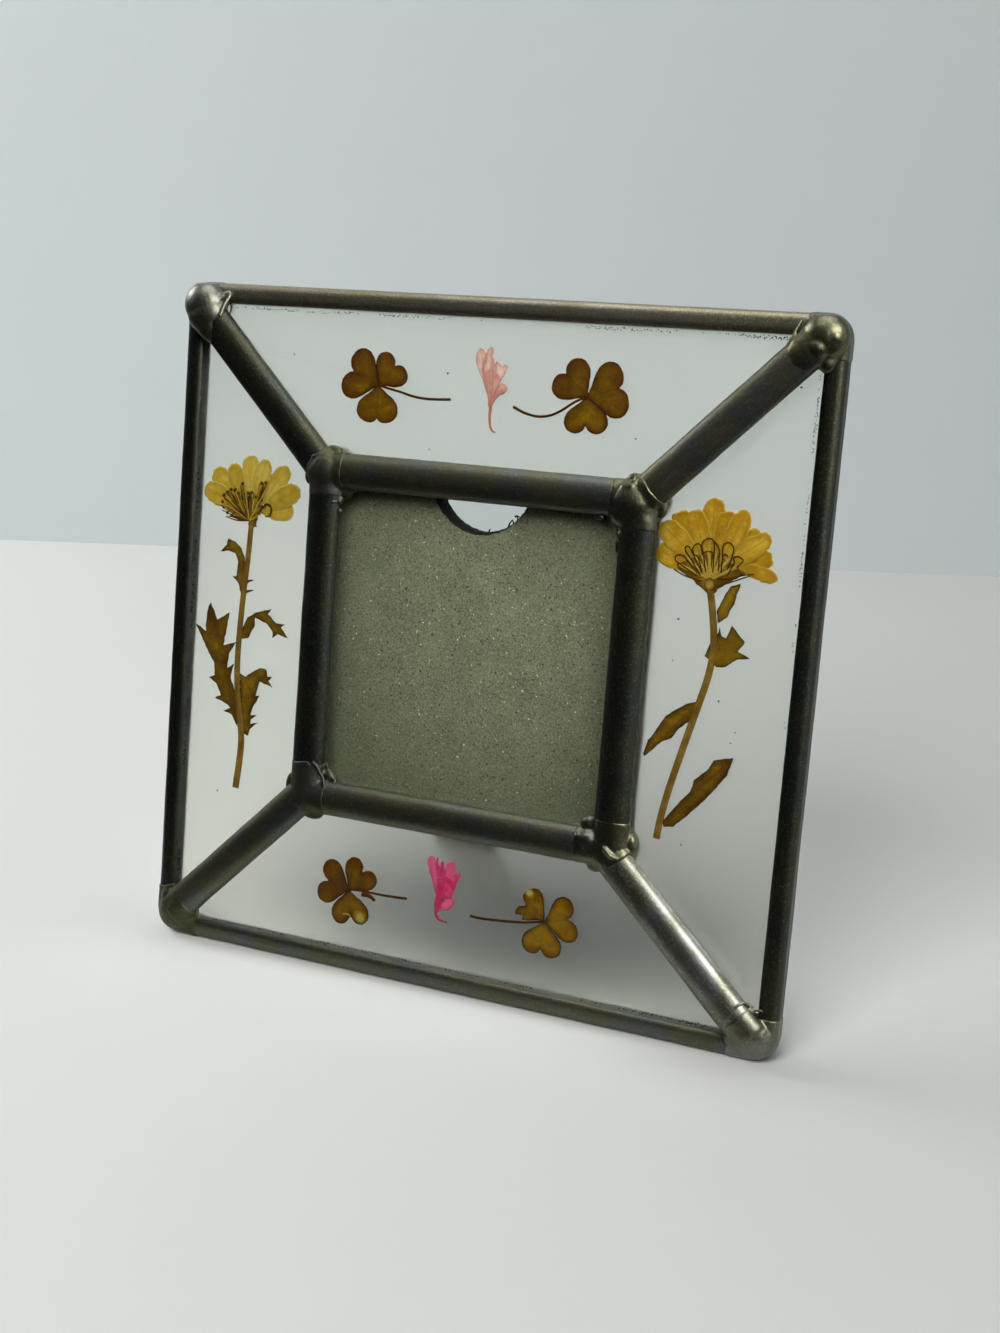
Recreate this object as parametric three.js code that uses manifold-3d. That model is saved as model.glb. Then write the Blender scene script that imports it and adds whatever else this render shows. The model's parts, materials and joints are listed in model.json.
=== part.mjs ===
// A small table-top picture frame of leaded glass. Four sloping-ended panels, each a clear pane over a
// frosted one with pressed flowers between, are held in round lead came round a square picture opening.
// A bent strap leg on the back leans the frame backwards.
// Millimetres, +Z up, the front faces -Y, and the origin is the bottom centre of the whole object.
//
// Everything but the leg is drawn in the frame's own plane: x to the right, y up along the frame, and z
// out of the front. The leaning group then tips that plane back.
import * as THREE from "three";
import { mergeVertices } from "three/addons/utils/BufferGeometryUtils.js";
import Module from "manifold-3d";

const wasm = await Module();
wasm.setup();

// ---- Driving dimensions ----
const FRAME_SIZE = 150; // outside, square
const LEAN = THREE.MathUtils.degToRad(10.8); // backwards from upright
const GAP = 0.3; // between solids that touch

const SLOT_HALF = 2.1; // half the came's slot, across the glass
const EDGE_CAME = { half: 2.45, crown: 2.75, web: 1.6, fullness: 2.8 };
const BAR_CAME = { half: 3.85, heart: 0.8 };
const FRONT_BEAD = { lip: 3.3, crown: 5.6 }; // heights of a bar came's widest line and of its ridge
const BACK_BEAD = { lip: 2.6, crown: 4.4 };
const OPENING_HALF = 36.2; // centre of the opening to the centreline of its came

const EDGE_SOLDER = { centre: 70, radius: 5, half_depth: 5.6 };
const OPENING_SOLDER = { radius: 4.8, front: 6.2, back: 5, post: 1.6 };

const PANE_FACE = 1.8; // outer face of a pane from the middle of the panel
const PANE_BACK = 0.4; // inner face of a pane
const PANE_INSET = 1.2; // a pane's edge from the centreline of a bar came
const PICTURE_GLASS = { half: 35.1, back: 0.4, front: 1.8 };
const BOARD = { half: 34.7, front: -1, thickness: 3.2, notch_radius: 11.3, notch_height: 37.2 };

const SPECIMEN_THICKNESS = 0.4;

const TAB = { width: 5, thickness: 0.5, height: 17, outer: 38.6, over: 29.8, step: 33.4 };
const LEG = { width: 15, thickness: 1.2, top: -33, bend: -43, reach: 49, foot: 11, bend_radius: 4 };

const CUT_SIDES = 32; // of a round cut through the plane

// ---- Materials ----
const metal = (color, roughness) => new THREE.MeshStandardMaterial({ color, roughness, metalness: 1 });
const matt = (color, roughness = 0.8) => new THREE.MeshStandardMaterial({ color, roughness });
const glazing = (color, roughness, opacity) =>
  new THREE.MeshStandardMaterial({ color, roughness, opacity, transparent: true });
const lead = metal(0x55564e, 0.35);
const solder = metal(0x77776c, 0.3);
const tinned = metal(0x6a6b66, 0.4);
const clearGlass = glazing(0xf2f6f4, 0.05, 0.25);
const frostedGlass = glazing(0xdfe4e0, 0.6, 0.6);
const greyBoard = matt(0x7c7e68, 0.9);
const cloverBrown = matt(0x5d4008);
const petalYellow = matt(0xb79a3a);
const calyxOlive = matt(0x7a6426);
const stemBrown = matt(0x5a4420);
const leafBrown = matt(0x5d4208);
const petalPink = matt(0xd08b86);
const petalMagenta = matt(0xc0457a);

// ---- Solids and cuts ----
function solidOf(geometry) {
  const bare = geometry.index ? geometry.toNonIndexed() : geometry.clone();
  bare.deleteAttribute("normal");
  bare.deleteAttribute("uv");
  const merged = mergeVertices(bare, 1e-4);
  return new wasm.Manifold(
    new wasm.Mesh({
      numProp: 3,
      vertProperties: new Float32Array(merged.attributes.position.array),
      triVerts: new Uint32Array(merged.index.array),
    }),
  );
}

function meshOf(name, solid, material) {
  const made = solid.getMesh();
  const geometry = new THREE.BufferGeometry()
    .setAttribute("position", new THREE.BufferAttribute(made.vertProperties, 3))
    .setIndex(new THREE.BufferAttribute(made.triVerts, 1));
  geometry.computeVertexNormals();
  const mesh = new THREE.Mesh(geometry, material);
  mesh.name = name;
  return mesh;
}

// An outline, as [x, y] pairs or a shape, made into a plate from z = low to z = high.
function plate(outline, low, high) {
  const drawn = outline instanceof THREE.Shape;
  const shape = drawn ? outline : new THREE.Shape(outline.map(([x, y]) => new THREE.Vector2(x, y)));
  const depth = high - low;
  const geometry = new THREE.ExtrudeGeometry(shape, { depth, bevelEnabled: false, curveSegments: 4 });
  return solidOf(geometry.translate(0, 0, low));
}

function cylinder(radius, low, high, x, y, sides = CUT_SIDES) {
  const geometry = new THREE.CylinderGeometry(radius, radius, high - low, sides);
  return solidOf(geometry.rotateX(Math.PI / 2).translate(x, y, (low + high) / 2));
}

function ellipsoid(radius, halfDepth, x, y) {
  const sphere = new THREE.SphereGeometry(radius, 18, 10).rotateX(Math.PI / 2);
  return solidOf(sphere.scale(1, 1, halfDepth / radius).translate(x, y, 0));
}

const box = (xs, ys, zs) =>
  solidOf(
    new THREE.BoxGeometry(xs[1] - xs[0], ys[1] - ys[0], zs[1] - zs[0]).translate(
      (xs[0] + xs[1]) / 2,
      (ys[0] + ys[1]) / 2,
      (zs[0] + zs[1]) / 2,
    ),
  );

// Quarter turns about the frame's centre, anticlockwise from the bottom side.
const SIDES = ["bottom", "right", "top", "left"];
const CORNERS = ["bottom_right", "top_right", "top_left", "bottom_left"];
const quarterTurn = (solid, k) => solid.rotate([0, 0, 90 * k]);

// ---- Came sections ----
// A section's x is across the came, positive towards the picture, and its y is the frame's z.
const arc = (from, to, steps, point) =>
  Array.from({ length: steps + 1 }, (_, i) => point(from + ((to - from) * i) / steps));

// The outermost came: round outside, with one slot. The curve runs from the slot's front edge to its back.
function edgeSection() {
  const { half, crown, web, fullness } = EDGE_CAME;
  const power = (value) => Math.sign(value) * Math.abs(value) ** (2 / fullness);
  const start = Math.asin((SLOT_HALF / crown) ** (fullness / 2));
  const round = arc(start, 2 * Math.PI - start, 20, (t) => [
    half * power(Math.cos(t)),
    crown * power(Math.sin(t)),
  ]);
  return [...round, [web - half, -SLOT_HALF], [web - half, SLOT_HALF]];
}

// The curve of one bead of a bar came, from angle to angle: side is 1 on the front and -1 on the back.
function bead(side, { lip, crown }, from, to, steps) {
  return arc(from, to, steps, (t) => [
    BAR_CAME.half * Math.cos(t),
    side * (lip + (crown - lip) * Math.sin(t)),
  ]);
}

// Where a bead's curve, rounding under its widest line, meets the slot.
const underside = ({ lip, crown }) => -Math.asin((lip - SLOT_HALF) / (crown - lip));

function wholeBead(side, shape) {
  const start = underside(shape);
  return bead(side, shape, start, Math.PI - start, 12);
}

// Round came with a slot on both sides, between the heart and the beads.
function barSection() {
  const { heart } = BAR_CAME;
  return [
    ...wholeBead(1, FRONT_BEAD),
    [-heart, SLOT_HALF],
    [-heart, -SLOT_HALF],
    ...wholeBead(-1, BACK_BEAD).reverse(),
    [heart, -SLOT_HALF],
    [heart, SLOT_HALF],
  ];
}

// The came round the opening: its back bead is cut away on the picture's side, for the board to go in.
function openingSection() {
  const { heart } = BAR_CAME;
  return [
    ...wholeBead(1, FRONT_BEAD),
    [-heart, SLOT_HALF],
    [-heart, -SLOT_HALF],
    ...bead(-1, BACK_BEAD, Math.PI - underside(BACK_BEAD), Math.PI / 2, 6),
    [heart, -BACK_BEAD.crown],
    [heart, SLOT_HALF],
  ];
}

// A section drawn along the frame's plane from one point to another, its x on the left of the way.
function bar(section, from, to) {
  const way = new THREE.Vector3(to[0] - from[0], to[1] - from[1], 0);
  const length = way.length();
  way.normalize();
  const front = new THREE.Vector3(0, 0, 1);
  const across = new THREE.Vector3().crossVectors(front, way);
  const place = new THREE.Matrix4().makeBasis(across, front, way).setPosition(from[0], from[1], 0);
  const shape = new THREE.Shape(section.map(([x, y]) => new THREE.Vector2(x, y)));
  const geometry = new THREE.ExtrudeGeometry(shape, { depth: length, bevelEnabled: false, steps: 1 });
  return solidOf(geometry.applyMatrix4(place));
}

// ---- Leadwork ----
const HALF = FRAME_SIZE / 2;
const EDGE_LINE = HALF - EDGE_CAME.half; // centreline of the edge came
const EDGE_INSIDE = HALF - 2 * EDGE_CAME.half;
const TALL = 8; // more than half the thickness of anything in the plane

const cutAt = (radius, place) => cylinder(radius + GAP, -TALL, TALL, place, place);
const edgeSolderCut = cutAt(EDGE_SOLDER.radius, EDGE_SOLDER.centre);
const openingSolderCut = cutAt(OPENING_SOLDER.radius, OPENING_HALF);
const atAllCorners = (solid) => [1, 2, 3].reduce((sum, k) => sum.add(quarterTurn(solid, k)), solid);

// The floor in the frame's own plane: everything below it is cut away.
const EDGE_FLAT = 0.2; // how far the floor cuts into the round of the bottom came
const FLOOR_DEPTH = EDGE_LINE * Math.cos(LEAN) + reachBelow(EDGE_CAME) - EDGE_FLAT; // under the centre
const underFloor = box([-HALF, HALF], [-20 - FLOOR_DEPTH, -FLOOR_DEPTH], [-30, 30]).rotate([
  THREE.MathUtils.radToDeg(LEAN), 0, 0,
]);

// How far a superellipse, leaning with the frame, reaches below its own centre.
function reachBelow({ half, crown, fullness }) {
  const power = fullness / (fullness - 1);
  return ((half * Math.cos(LEAN)) ** power + (crown * Math.sin(LEAN)) ** power) ** (1 / power);
}

function edgeCame() {
  const { centre } = EDGE_SOLDER;
  const whole = bar(edgeSection(), [-centre, -EDGE_LINE], [centre, -EDGE_LINE]);
  return whole.subtract(atAllCorners(edgeSolderCut));
}

function openingCame() {
  const { half } = BAR_CAME;
  const whole = bar(openingSection(), [-OPENING_HALF, -OPENING_HALF], [OPENING_HALF, -OPENING_HALF]);
  const inner = OPENING_HALF - half;
  const mitred = plate(
    [
      [-OPENING_HALF, -OPENING_HALF - half - 1],
      [OPENING_HALF, -OPENING_HALF - half - 1],
      [OPENING_HALF, -OPENING_HALF + GAP],
      [inner - GAP, -inner],
      [GAP - inner, -inner],
      [-OPENING_HALF, -OPENING_HALF + GAP],
    ],
    -TALL,
    TALL,
  );
  return whole.intersect(mitred).subtract(atAllCorners(openingSolderCut));
}

function diagonalCame() {
  const whole = bar(barSection(), [OPENING_HALF, -OPENING_HALF], [EDGE_LINE, -EDGE_LINE]);
  const inside = EDGE_INSIDE - GAP;
  return whole
    .intersect(box([0, inside], [-inside, 0], [-TALL, TALL]))
    .subtract(atAllCorners(edgeSolderCut))
    .subtract(atAllCorners(openingSolderCut));
}

// Solder over the meeting of two opening cames and a diagonal one: a cap on each face, and a post between.
function openingSolder() {
  const { radius, front, back, post } = OPENING_SOLDER;
  const [x, y] = [OPENING_HALF, -OPENING_HALF];
  const around = [[x - TALL, x + TALL], [y - TALL, y + TALL]];
  const room = [-PICTURE_GLASS.half - GAP, PICTURE_GLASS.half + GAP];
  const frontCap = ellipsoid(radius, front, x, y).intersect(box(...around, [SLOT_HALF, TALL]));
  const backCap = ellipsoid(radius, back, x, y).intersect(box(...around, [-TALL, -SLOT_HALF]));
  return cylinder(post, -SLOT_HALF - 1, SLOT_HALF + 1, x, y, 12)
    .add(backCap)
    .subtract(box(room, room, [-TALL, SLOT_HALF]))
    .add(frontCap);
}

const edgeSolder = () =>
  ellipsoid(EDGE_SOLDER.radius, EDGE_SOLDER.half_depth, EDGE_SOLDER.centre, -EDGE_SOLDER.centre);

// ---- Glass and board ----
// A panel below the opening, from the opening's came out to the edge came's slot.
function pane(low, high) {
  const slant = PANE_INSET * Math.SQRT2;
  const top = OPENING_HALF + PANE_INSET;
  const bottom = HALF - EDGE_CAME.web - GAP;
  const whole = plate(
    [
      [-bottom + slant, -bottom],
      [bottom - slant, -bottom],
      [top - slant, -top],
      [-top + slant, -top],
    ],
    low,
    high,
  );
  const post = cylinder(OPENING_SOLDER.post + GAP, -TALL, TALL, OPENING_HALF, -OPENING_HALF, 12);
  return whole.subtract(atAllCorners(post)).subtract(atAllCorners(edgeSolderCut));
}

const square = (half) => [
  [-half, -half],
  [half, -half],
  [half, half],
  [-half, half],
];

function backingBoard() {
  const { half, front, thickness, notch_radius, notch_height } = BOARD;
  const board = plate(square(half), front - thickness, front);
  return board.subtract(cylinder(notch_radius, -TALL, TALL, 0, notch_height));
}

// ---- Strips bent from sheet ----
// A path in a plane given the sheet's thickness, then drawn out to the strip's width along x.
function bentStrip(path, thickness, width) {
  const sides = [1, -1].map((side) =>
    path.map((point, i) => {
      const before = path[Math.max(i - 1, 0)];
      const after = path[Math.min(i + 1, path.length - 1)];
      const inWay = new THREE.Vector2().subVectors(point, before);
      const outWay = new THREE.Vector2().subVectors(after, point);
      const inUnit = (inWay.length() ? inWay : outWay).clone().normalize();
      const outUnit = (outWay.length() ? outWay : inWay).clone().normalize();
      const mean = inUnit.clone().add(outUnit).normalize();
      const reach = (side * thickness) / 2 / Math.max(0.5, mean.dot(inUnit));
      return new THREE.Vector2(point.x - mean.y * reach, point.y + mean.x * reach);
    }),
  );
  const shape = new THREE.Shape([...sides[0], ...sides[1].reverse()]);
  const geometry = new THREE.ExtrudeGeometry(shape, { depth: width, bevelEnabled: false, steps: 1 });
  const turned = new THREE.Matrix4().makeBasis(
    new THREE.Vector3(0, 1, 0),
    new THREE.Vector3(0, 0, 1),
    new THREE.Vector3(1, 0, 0),
  );
  return solidOf(geometry.translate(0, 0, -width / 2).applyMatrix4(turned));
}

// A corner of a path rounded off to the bend's radius.
function roundedPath(corners, radius) {
  const path = new THREE.Path();
  path.moveTo(corners[0].x, corners[0].y);
  corners.slice(1, -1).forEach((corner, i) => {
    const back = new THREE.Vector2().subVectors(corners[i], corner).setLength(radius).add(corner);
    const on = new THREE.Vector2().subVectors(corners[i + 2], corner).setLength(radius).add(corner);
    path.lineTo(back.x, back.y);
    path.quadraticCurveTo(corner.x, corner.y, on.x, on.y);
  });
  path.lineTo(corners.at(-1).x, corners.at(-1).y);
  return path.getPoints(5);
}

// The leg: its tab lies along the back of the bottom opening came, and its foot is flat on the floor.
// Its corners are worked out in the leaning plane, as across = y and up = z of the finished object.
function strapLeg() {
  const { width, thickness, top, bend, reach, foot, bend_radius } = LEG;
  const behind = -BACK_BEAD.crown - GAP - thickness / 2;
  const standing = (y, z) =>
    new THREE.Vector2(
      y * Math.sin(LEAN) - z * Math.cos(LEAN),
      y * Math.cos(LEAN) + z * Math.sin(LEAN) + FLOOR_DEPTH,
    );
  const heel = standing(-EDGE_LINE, 0).x + reach;
  const corners = [
    standing(top, behind),
    standing(bend, behind),
    new THREE.Vector2(heel, thickness / 2),
    new THREE.Vector2(heel + foot, thickness / 2),
  ];
  return bentStrip(roundedPath(corners, bend_radius), thickness, width);
}

// A tab soldered on the back of the opening's came and folded over the board's edge.
function boardTab() {
  const { width, thickness, outer, over, step } = TAB;
  const onCame = -BACK_BEAD.crown - GAP - thickness / 2;
  const onBoard = BOARD.front - BOARD.thickness - GAP - thickness / 2;
  const path = [
    [-outer, onCame],
    [-OPENING_HALF + 1, onCame],
    [-step, onBoard],
    [-over, onBoard],
  ].map(([x, y]) => new THREE.Vector2(x, y));
  return bentStrip(path, thickness, width).rotate([0, 0, -90]);
}

// ---- Pressed specimens ----
const HALF_SPECIMEN = SPECIMEN_THICKNESS / 2;
const pressed = (outline) => plate(outline, -HALF_SPECIMEN, HALF_SPECIMEN);
const union = (solids) => solids.reduce((sum, solid) => sum.add(solid));

// A flat stalk that follows a smooth line through the points, from one width to another.
function stalk(points, startWidth, endWidth, extra = 0) {
  const line = new THREE.CatmullRomCurve3(points.map(([x, y]) => new THREE.Vector3(x, y, 0)));
  const steps = 3 * (points.length - 1);
  const sides = [1, -1].map((side) =>
    Array.from({ length: steps + 1 }, (_, i) => {
      const at = line.getPoint(i / steps);
      const way = line.getTangent(i / steps);
      const reach = side * (THREE.MathUtils.lerp(startWidth, endWidth, i / steps) / 2 + extra);
      return [at.x - way.y * reach, at.y + way.x * reach];
    }),
  );
  return pressed([...sides[0], ...sides[1].reverse()]);
}

// A heart-shaped leaflet with its point at the origin and its notch along +x.
function leaflet({ length, width, notch, angle }) {
  const half = width / 2;
  const heart = new THREE.Shape();
  heart.moveTo(-0.3, 0);
  heart.bezierCurveTo(length * 0.25, -half * 0.55, length * 0.35, -half * 1.02, length * 0.72, -half);
  heart.bezierCurveTo(length * 1.02, -half * 0.95, length * 1.12, -half * 0.2, notch, 0);
  heart.bezierCurveTo(length * 1.12, half * 0.2, length * 1.02, half * 0.95, length * 0.72, half);
  heart.bezierCurveTo(length * 0.35, half * 1.02, length * 0.25, half * 0.55, -0.3, 0);
  return pressed(heart).rotate([0, 0, angle]);
}

// Three leaflets on a thread-like stalk. The stalk's points start from the leaflets' meeting.
const clover = ({ leaflets, stem }) => union([...leaflets.map(leaflet), stalk(stem, 0.6, 0.7)]);

// A round-ended petal from its base to its tip.
function petal([baseX, baseY, tipX, tipY, width]) {
  const length = Math.hypot(tipX - baseX, tipY - baseY);
  const half = width / 2;
  const shape = new THREE.Shape();
  shape.moveTo(0, -half * 0.35);
  shape.bezierCurveTo(length * 0.3, -half * 0.9, length * 0.6, -half * 1.15, length * 0.86, -half * 0.78);
  shape.bezierCurveTo(length * 1.04, -half * 0.5, length * 1.04, half * 0.5, length * 0.86, half * 0.78);
  shape.bezierCurveTo(length * 0.6, half * 1.15, length * 0.3, half * 0.9, 0, half * 0.35);
  const turn = THREE.MathUtils.radToDeg(Math.atan2(tipY - baseY, tipX - baseX));
  return pressed(shape).rotate([0, 0, turn]).translate([baseX, baseY, 0]);
}

const CLOVERS = {
  clover_top_left: {
    at: [-26.4, 55.1],
    leaflets: [
      { length: 8.6, width: 11.4, notch: 6.9, angle: 158 },
      { length: 6.9, width: 8.8, notch: 5.6, angle: 50 },
      { length: 7.9, width: 10, notch: 7.2, angle: -89 },
    ],
    stem: [[0, 0], [2.1, -0.5], [5.3, -1.1], [8.8, -1.9], [12.6, -2.15], [17.3, -1.9]],
  },
  clover_top_right: {
    at: [21.8, 55.8],
    leaflets: [
      { length: 7.9, width: 9.7, notch: 6.7, angle: 139 },
      { length: 8.6, width: 11.7, notch: 7.2, angle: 18 },
      { length: 7.5, width: 9.7, notch: 5.9, angle: -88 },
    ],
    stem: [[0, 0], [-2.5, -1.1], [-5.6, -3.2], [-7.9, -4.3], [-10.6, -4.7], [-13.6, -4.2], [-16.3, -3.1]],
  },
  clover_bottom_left: {
    at: [-25.4, -56.9],
    leaflets: [
      { length: 7.8, width: 10.4, notch: 5.5, angle: 168 },
      { length: 7.5, width: 8.7, notch: 5.5, angle: 56 },
      { length: 8, width: 9.5, notch: 5.7, angle: -82 },
    ],
    stem: [[0, 0], [3, 0.3], [6.1, 0.3], [9.7, 0.35], [14.5, 0.6]],
  },
  clover_bottom_right: {
    at: [22.2, -55.2],
    leaflets: [
      { length: 7.4, width: 7.6, notch: 5.6, angle: 138 },
      { length: 7.3, width: 10, notch: 5.2, angle: 16 },
      { length: 7.6, width: 9.2, notch: 6.1, angle: -94 },
    ],
    stem: [[0, 0], [-5.1, -1.1], [-9.9, -1.7], [-14.9, -2.1], [-17.5, -2]],
  },
};

// Two tufts of dyed petals, each pressed with its thin tube.
const TUFTS = {
  petal_tuft_top: {
    material: petalPink,
    outline: [
      [-0.1, 51.3], [0.7, 51.5], [1.7, 53.9], [3.5, 55.1], [3.8, 56.4], [2.6, 58.4], [3.2, 60.9], [1.3, 61.1],
      [0.2, 62.1], [0, 64.2], [-0.7, 64.7], [-1.5, 62.6], [-2.2, 63.6], [-3.2, 64.3], [-4, 61.5],
      [-2.6, 58.3], [-0.7, 54.5],
    ],
    tube: [[0.3, 52.1], [0.3, 49.9], [0.6, 48.1], [1, 47.3], [1.9, 47]],
  },
  petal_tuft_bottom: {
    material: petalMagenta,
    outline: [
      [-4.2, -57.5], [-3.1, -57.5], [-2.3, -56.5], [-0.3, -56.9], [0.6, -56.1], [0.5, -53.1], [1.1, -50.1],
      [1.5, -47.4], [0, -46.9], [-1.3, -46], [-2.8, -46.2], [-4.3, -45.7], [-6, -45.6], [-6.6, -47.1],
      [-5, -51.1], [-4.3, -54.1],
    ],
    tube: [[-3.7, -56.7], [-3.6, -57.9], [-3.1, -58.9], [-2.1, -59.5], [-0.8, -59.8]],
  },
};

// Two daisies on their stems. The stem is whole, and leaves and flower parts are cut round it.
const CALYX_ROOM = 0.45; // between the calyx's corners and the petals
const DAISIES = {
  daisy_left: {
    stem: {
      points: [
        [-56.2, 23.9], [-56.7, 13.9], [-57.4, 4.9], [-57.9, -7.1], [-57.5, -15.7], [-56.1, -23.6],
        [-55.7, -29.1], [-56.5, -38.4],
      ],
      widths: [1.3, 1.7],
    },
    petals: [
      [-61, 26.5, -69.2, 29.5, 4.4], [-61, 27.2, -66.8, 33.8, 4.6], [-59.2, 27.5, -62.1, 35.5, 3.8],
      [-57.2, 27.5, -57.4, 37.7, 4.4], [-55.2, 27.5, -53.4, 37, 3.9], [-54, 27, -47.7, 35.7, 4.2],
      [-53, 26.5, -44.3, 31, 4.4], [-54, 26, -45.7, 26.1, 4.6],
    ],
    calyx: [
      [-56.8, 21.6], [-57.4, 23.4], [-62, 24.6], [-63.6, 26], [-63.8, 28.2], [-61, 29.4], [-58, 29.8],
      [-54, 29.6], [-51, 27.8], [-51.4, 25.6], [-54.6, 24.2], [-54.9, 21.6],
    ],
    leaves: {
      leaf_upper: [
        [-57.9, 6.3], [-59, 8.7], [-60.5, 10.1], [-59.4, 10.1], [-59.2, 13.5], [-60.1, 15.4], [-61.9, 15.6],
        [-64, 15.3], [-62.5, 16.9], [-62.1, 18.5], [-60.2, 17.9], [-58.5, 16.5], [-57.5, 14.3], [-57, 9.9],
      ],
      leaf_middle: [
        [-57.5, -2.7], [-55.9, 1.1], [-53.8, 2.5], [-49.6, 3.8], [-50.6, 2.5], [-48.2, 0.7], [-45.9, 0.6],
        [-47, -0.2], [-45, -2.3], [-47.9, -1.7], [-49, -2.8], [-49.2, -1.3], [-50.9, 0.4], [-54, 1.3],
        [-53.8, -0.6], [-55, -2.7], [-55.5, -3.5], [-57.5, -4.1],
      ],
      leaf_large: [
        [-56.9, -24.3], [-58.6, -21.7], [-61, -21], [-59.1, -20.1], [-60.9, -19], [-63.5, -18.5],
        [-61.9, -17.5], [-63.2, -14.9], [-65.3, -13.9], [-63.8, -13.1], [-64, -10.6], [-66, -7.6],
        [-69.7, -1.8], [-66.8, -3.3], [-66.8, 1.2], [-65.8, 3.6], [-64.8, 1.5], [-63.8, -0.4], [-60.6, 1.8],
        [-61.2, -2.1], [-61.9, -6.1], [-58.6, -4.9], [-60.2, -7.6], [-60.6, -11.1], [-58.8, -9.9],
        [-59.5, -13.1], [-58.5, -15.3], [-57.5, -18.1],
      ],
      leaf_lower: [
        [-55.6, -25.3], [-56.5, -18.7], [-57.1, -11.9], [-55.5, -12.5], [-53.8, -11.1], [-51.8, -10],
        [-50.2, -10.1], [-49.8, -11.6], [-48.5, -11.6], [-49.4, -12.6], [-48.4, -14], [-51.8, -13.1],
        [-52.5, -16.6], [-51.5, -16.3], [-52.9, -18.8], [-53.6, -20.9], [-52, -20.8], [-53.5, -22.1],
        [-53.5, -23.1], [-51.5, -22.5], [-53.6, -24.3], [-54, -26],
      ],
    },
  },
  daisy_right: {
    stem: {
      points: [
        [51.3, 20.5], [52, 17.9], [53, 12.5], [53.5, 7.4], [52.9, 1.9], [51.6, -3.6], [49.2, -12.8],
        [46.9, -22.2], [45.7, -28.5], [45.2, -32.9],
      ],
      widths: [1.5, 1.5],
    },
    petals: [
      [48, 24, 39.5, 26.4, 4.5], [48, 25.5, 40.1, 31.8, 4.7], [49, 26, 43.1, 34.4, 4.4],
      [50, 26, 46.6, 35.1, 4.2], [51, 26, 50.8, 38, 4.6], [53, 26, 54, 35.6, 4.2],
      [53.6, 25.5, 57.6, 36, 4], [54, 25, 60.6, 32.2, 3.8], [54, 24.5, 63, 31.4, 4],
      [54, 23.8, 63.8, 27.4, 4.1], [57, 25, 65.2, 22.9, 2.7],
    ],
    calyx: [
      [51.6, 18.3], [48.6, 20.6], [44.4, 22.8], [43.6, 25], [46.4, 27.6], [50.8, 29.8], [54.8, 29.4],
      [57.8, 26.4], [59.8, 23.6], [56.4, 22], [53.6, 20],
    ],
    leaves: {
      leaf_upper: [
        [53.9, 13], [53.4, 15.1], [54.8, 19], [55.9, 20.7], [57.8, 21.3], [56.8, 17.2], [55.6, 14.3],
      ],
      leaf_star: [
        [53.5, 5.1], [51.8, 6], [52.5, 8.4], [54, 10.7], [54.5, 12.2], [54.9, 10.4], [55.9, 10.1],
        [56.8, 12.9], [58.3, 11.3], [59.9, 9.8], [58.6, 7.8], [61.2, 6.6], [58.3, 6.1], [56.5, 4.5],
        [54.5, 4],
      ],
      leaf_left: [
        [51.6, -3.1], [48.9, -4.2], [46.5, -5.9], [44.7, -7.4], [43.3, -9.9], [41.5, -12.8], [40.7, -15.5],
        [41, -16.4], [44.2, -12.8], [46.4, -11.7], [47.1, -10.5], [49.2, -8.1], [50.7, -7.1],
      ],
      leaf_lower: [
        [46.1, -29.1], [48, -26.5], [49.5, -24.4], [51.5, -22], [52.1, -19.5], [54.5, -17.1], [55.9, -14.8],
        [59.9, -13.7], [58.8, -17.5], [56.5, -21], [53.6, -24.6], [50.3, -28.1], [48.6, -29.9],
        [46.5, -30.1],
      ],
    },
  },
};

// The pieces of one daisy: each is cut back from those named before it, with a gap to them.
function daisyPieces(name, { stem, petals, calyx, leaves }) {
  const onStem = stalk(stem.points, ...stem.widths);
  const stemRoom = stalk(stem.points, ...stem.widths, GAP);
  const cup = largestOf(pressed(calyx).subtract(stemRoom));
  const cupRoom = pressed(grown(calyx, CALYX_ROOM));
  const head = largestOf(union(petals.map(petal)).subtract(stemRoom).subtract(cupRoom));
  const pieces = [
    meshOf(`${name}_stem`, onStem, stemBrown),
    meshOf(`${name}_calyx`, cup, calyxOlive),
    meshOf(`${name}_petals`, head, petalYellow),
  ];
  for (const [leafName, outline] of Object.entries(leaves)) {
    const blade = pressed(outline).subtract(stemRoom).subtract(cupRoom);
    pieces.push(meshOf(`${name}_${leafName}`, largestOf(blade), leafBrown));
  }
  return pieces;
}

// What a cut leaves of a piece, without the slivers on the far side of the cut.
const largestOf = (solid) =>
  solid.decompose().reduce((most, body) => (body.volume() > most.volume() ? body : most));

// An outline with every point moved away from the outline's middle.
function grown(outline, by) {
  const middle = [0, 1].map((k) => outline.reduce((sum, p) => sum + p[k], 0) / outline.length);
  return outline.map(([x, y]) => {
    const away = new THREE.Vector2(x - middle[0], y - middle[1]);
    away.setLength(away.length() + by);
    return [middle[0] + away.x, middle[1] + away.y];
  });
}

// ---- Assembly ----
const leaning = new THREE.Group();
leaning.rotation.x = Math.PI / 2 - LEAN;

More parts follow.
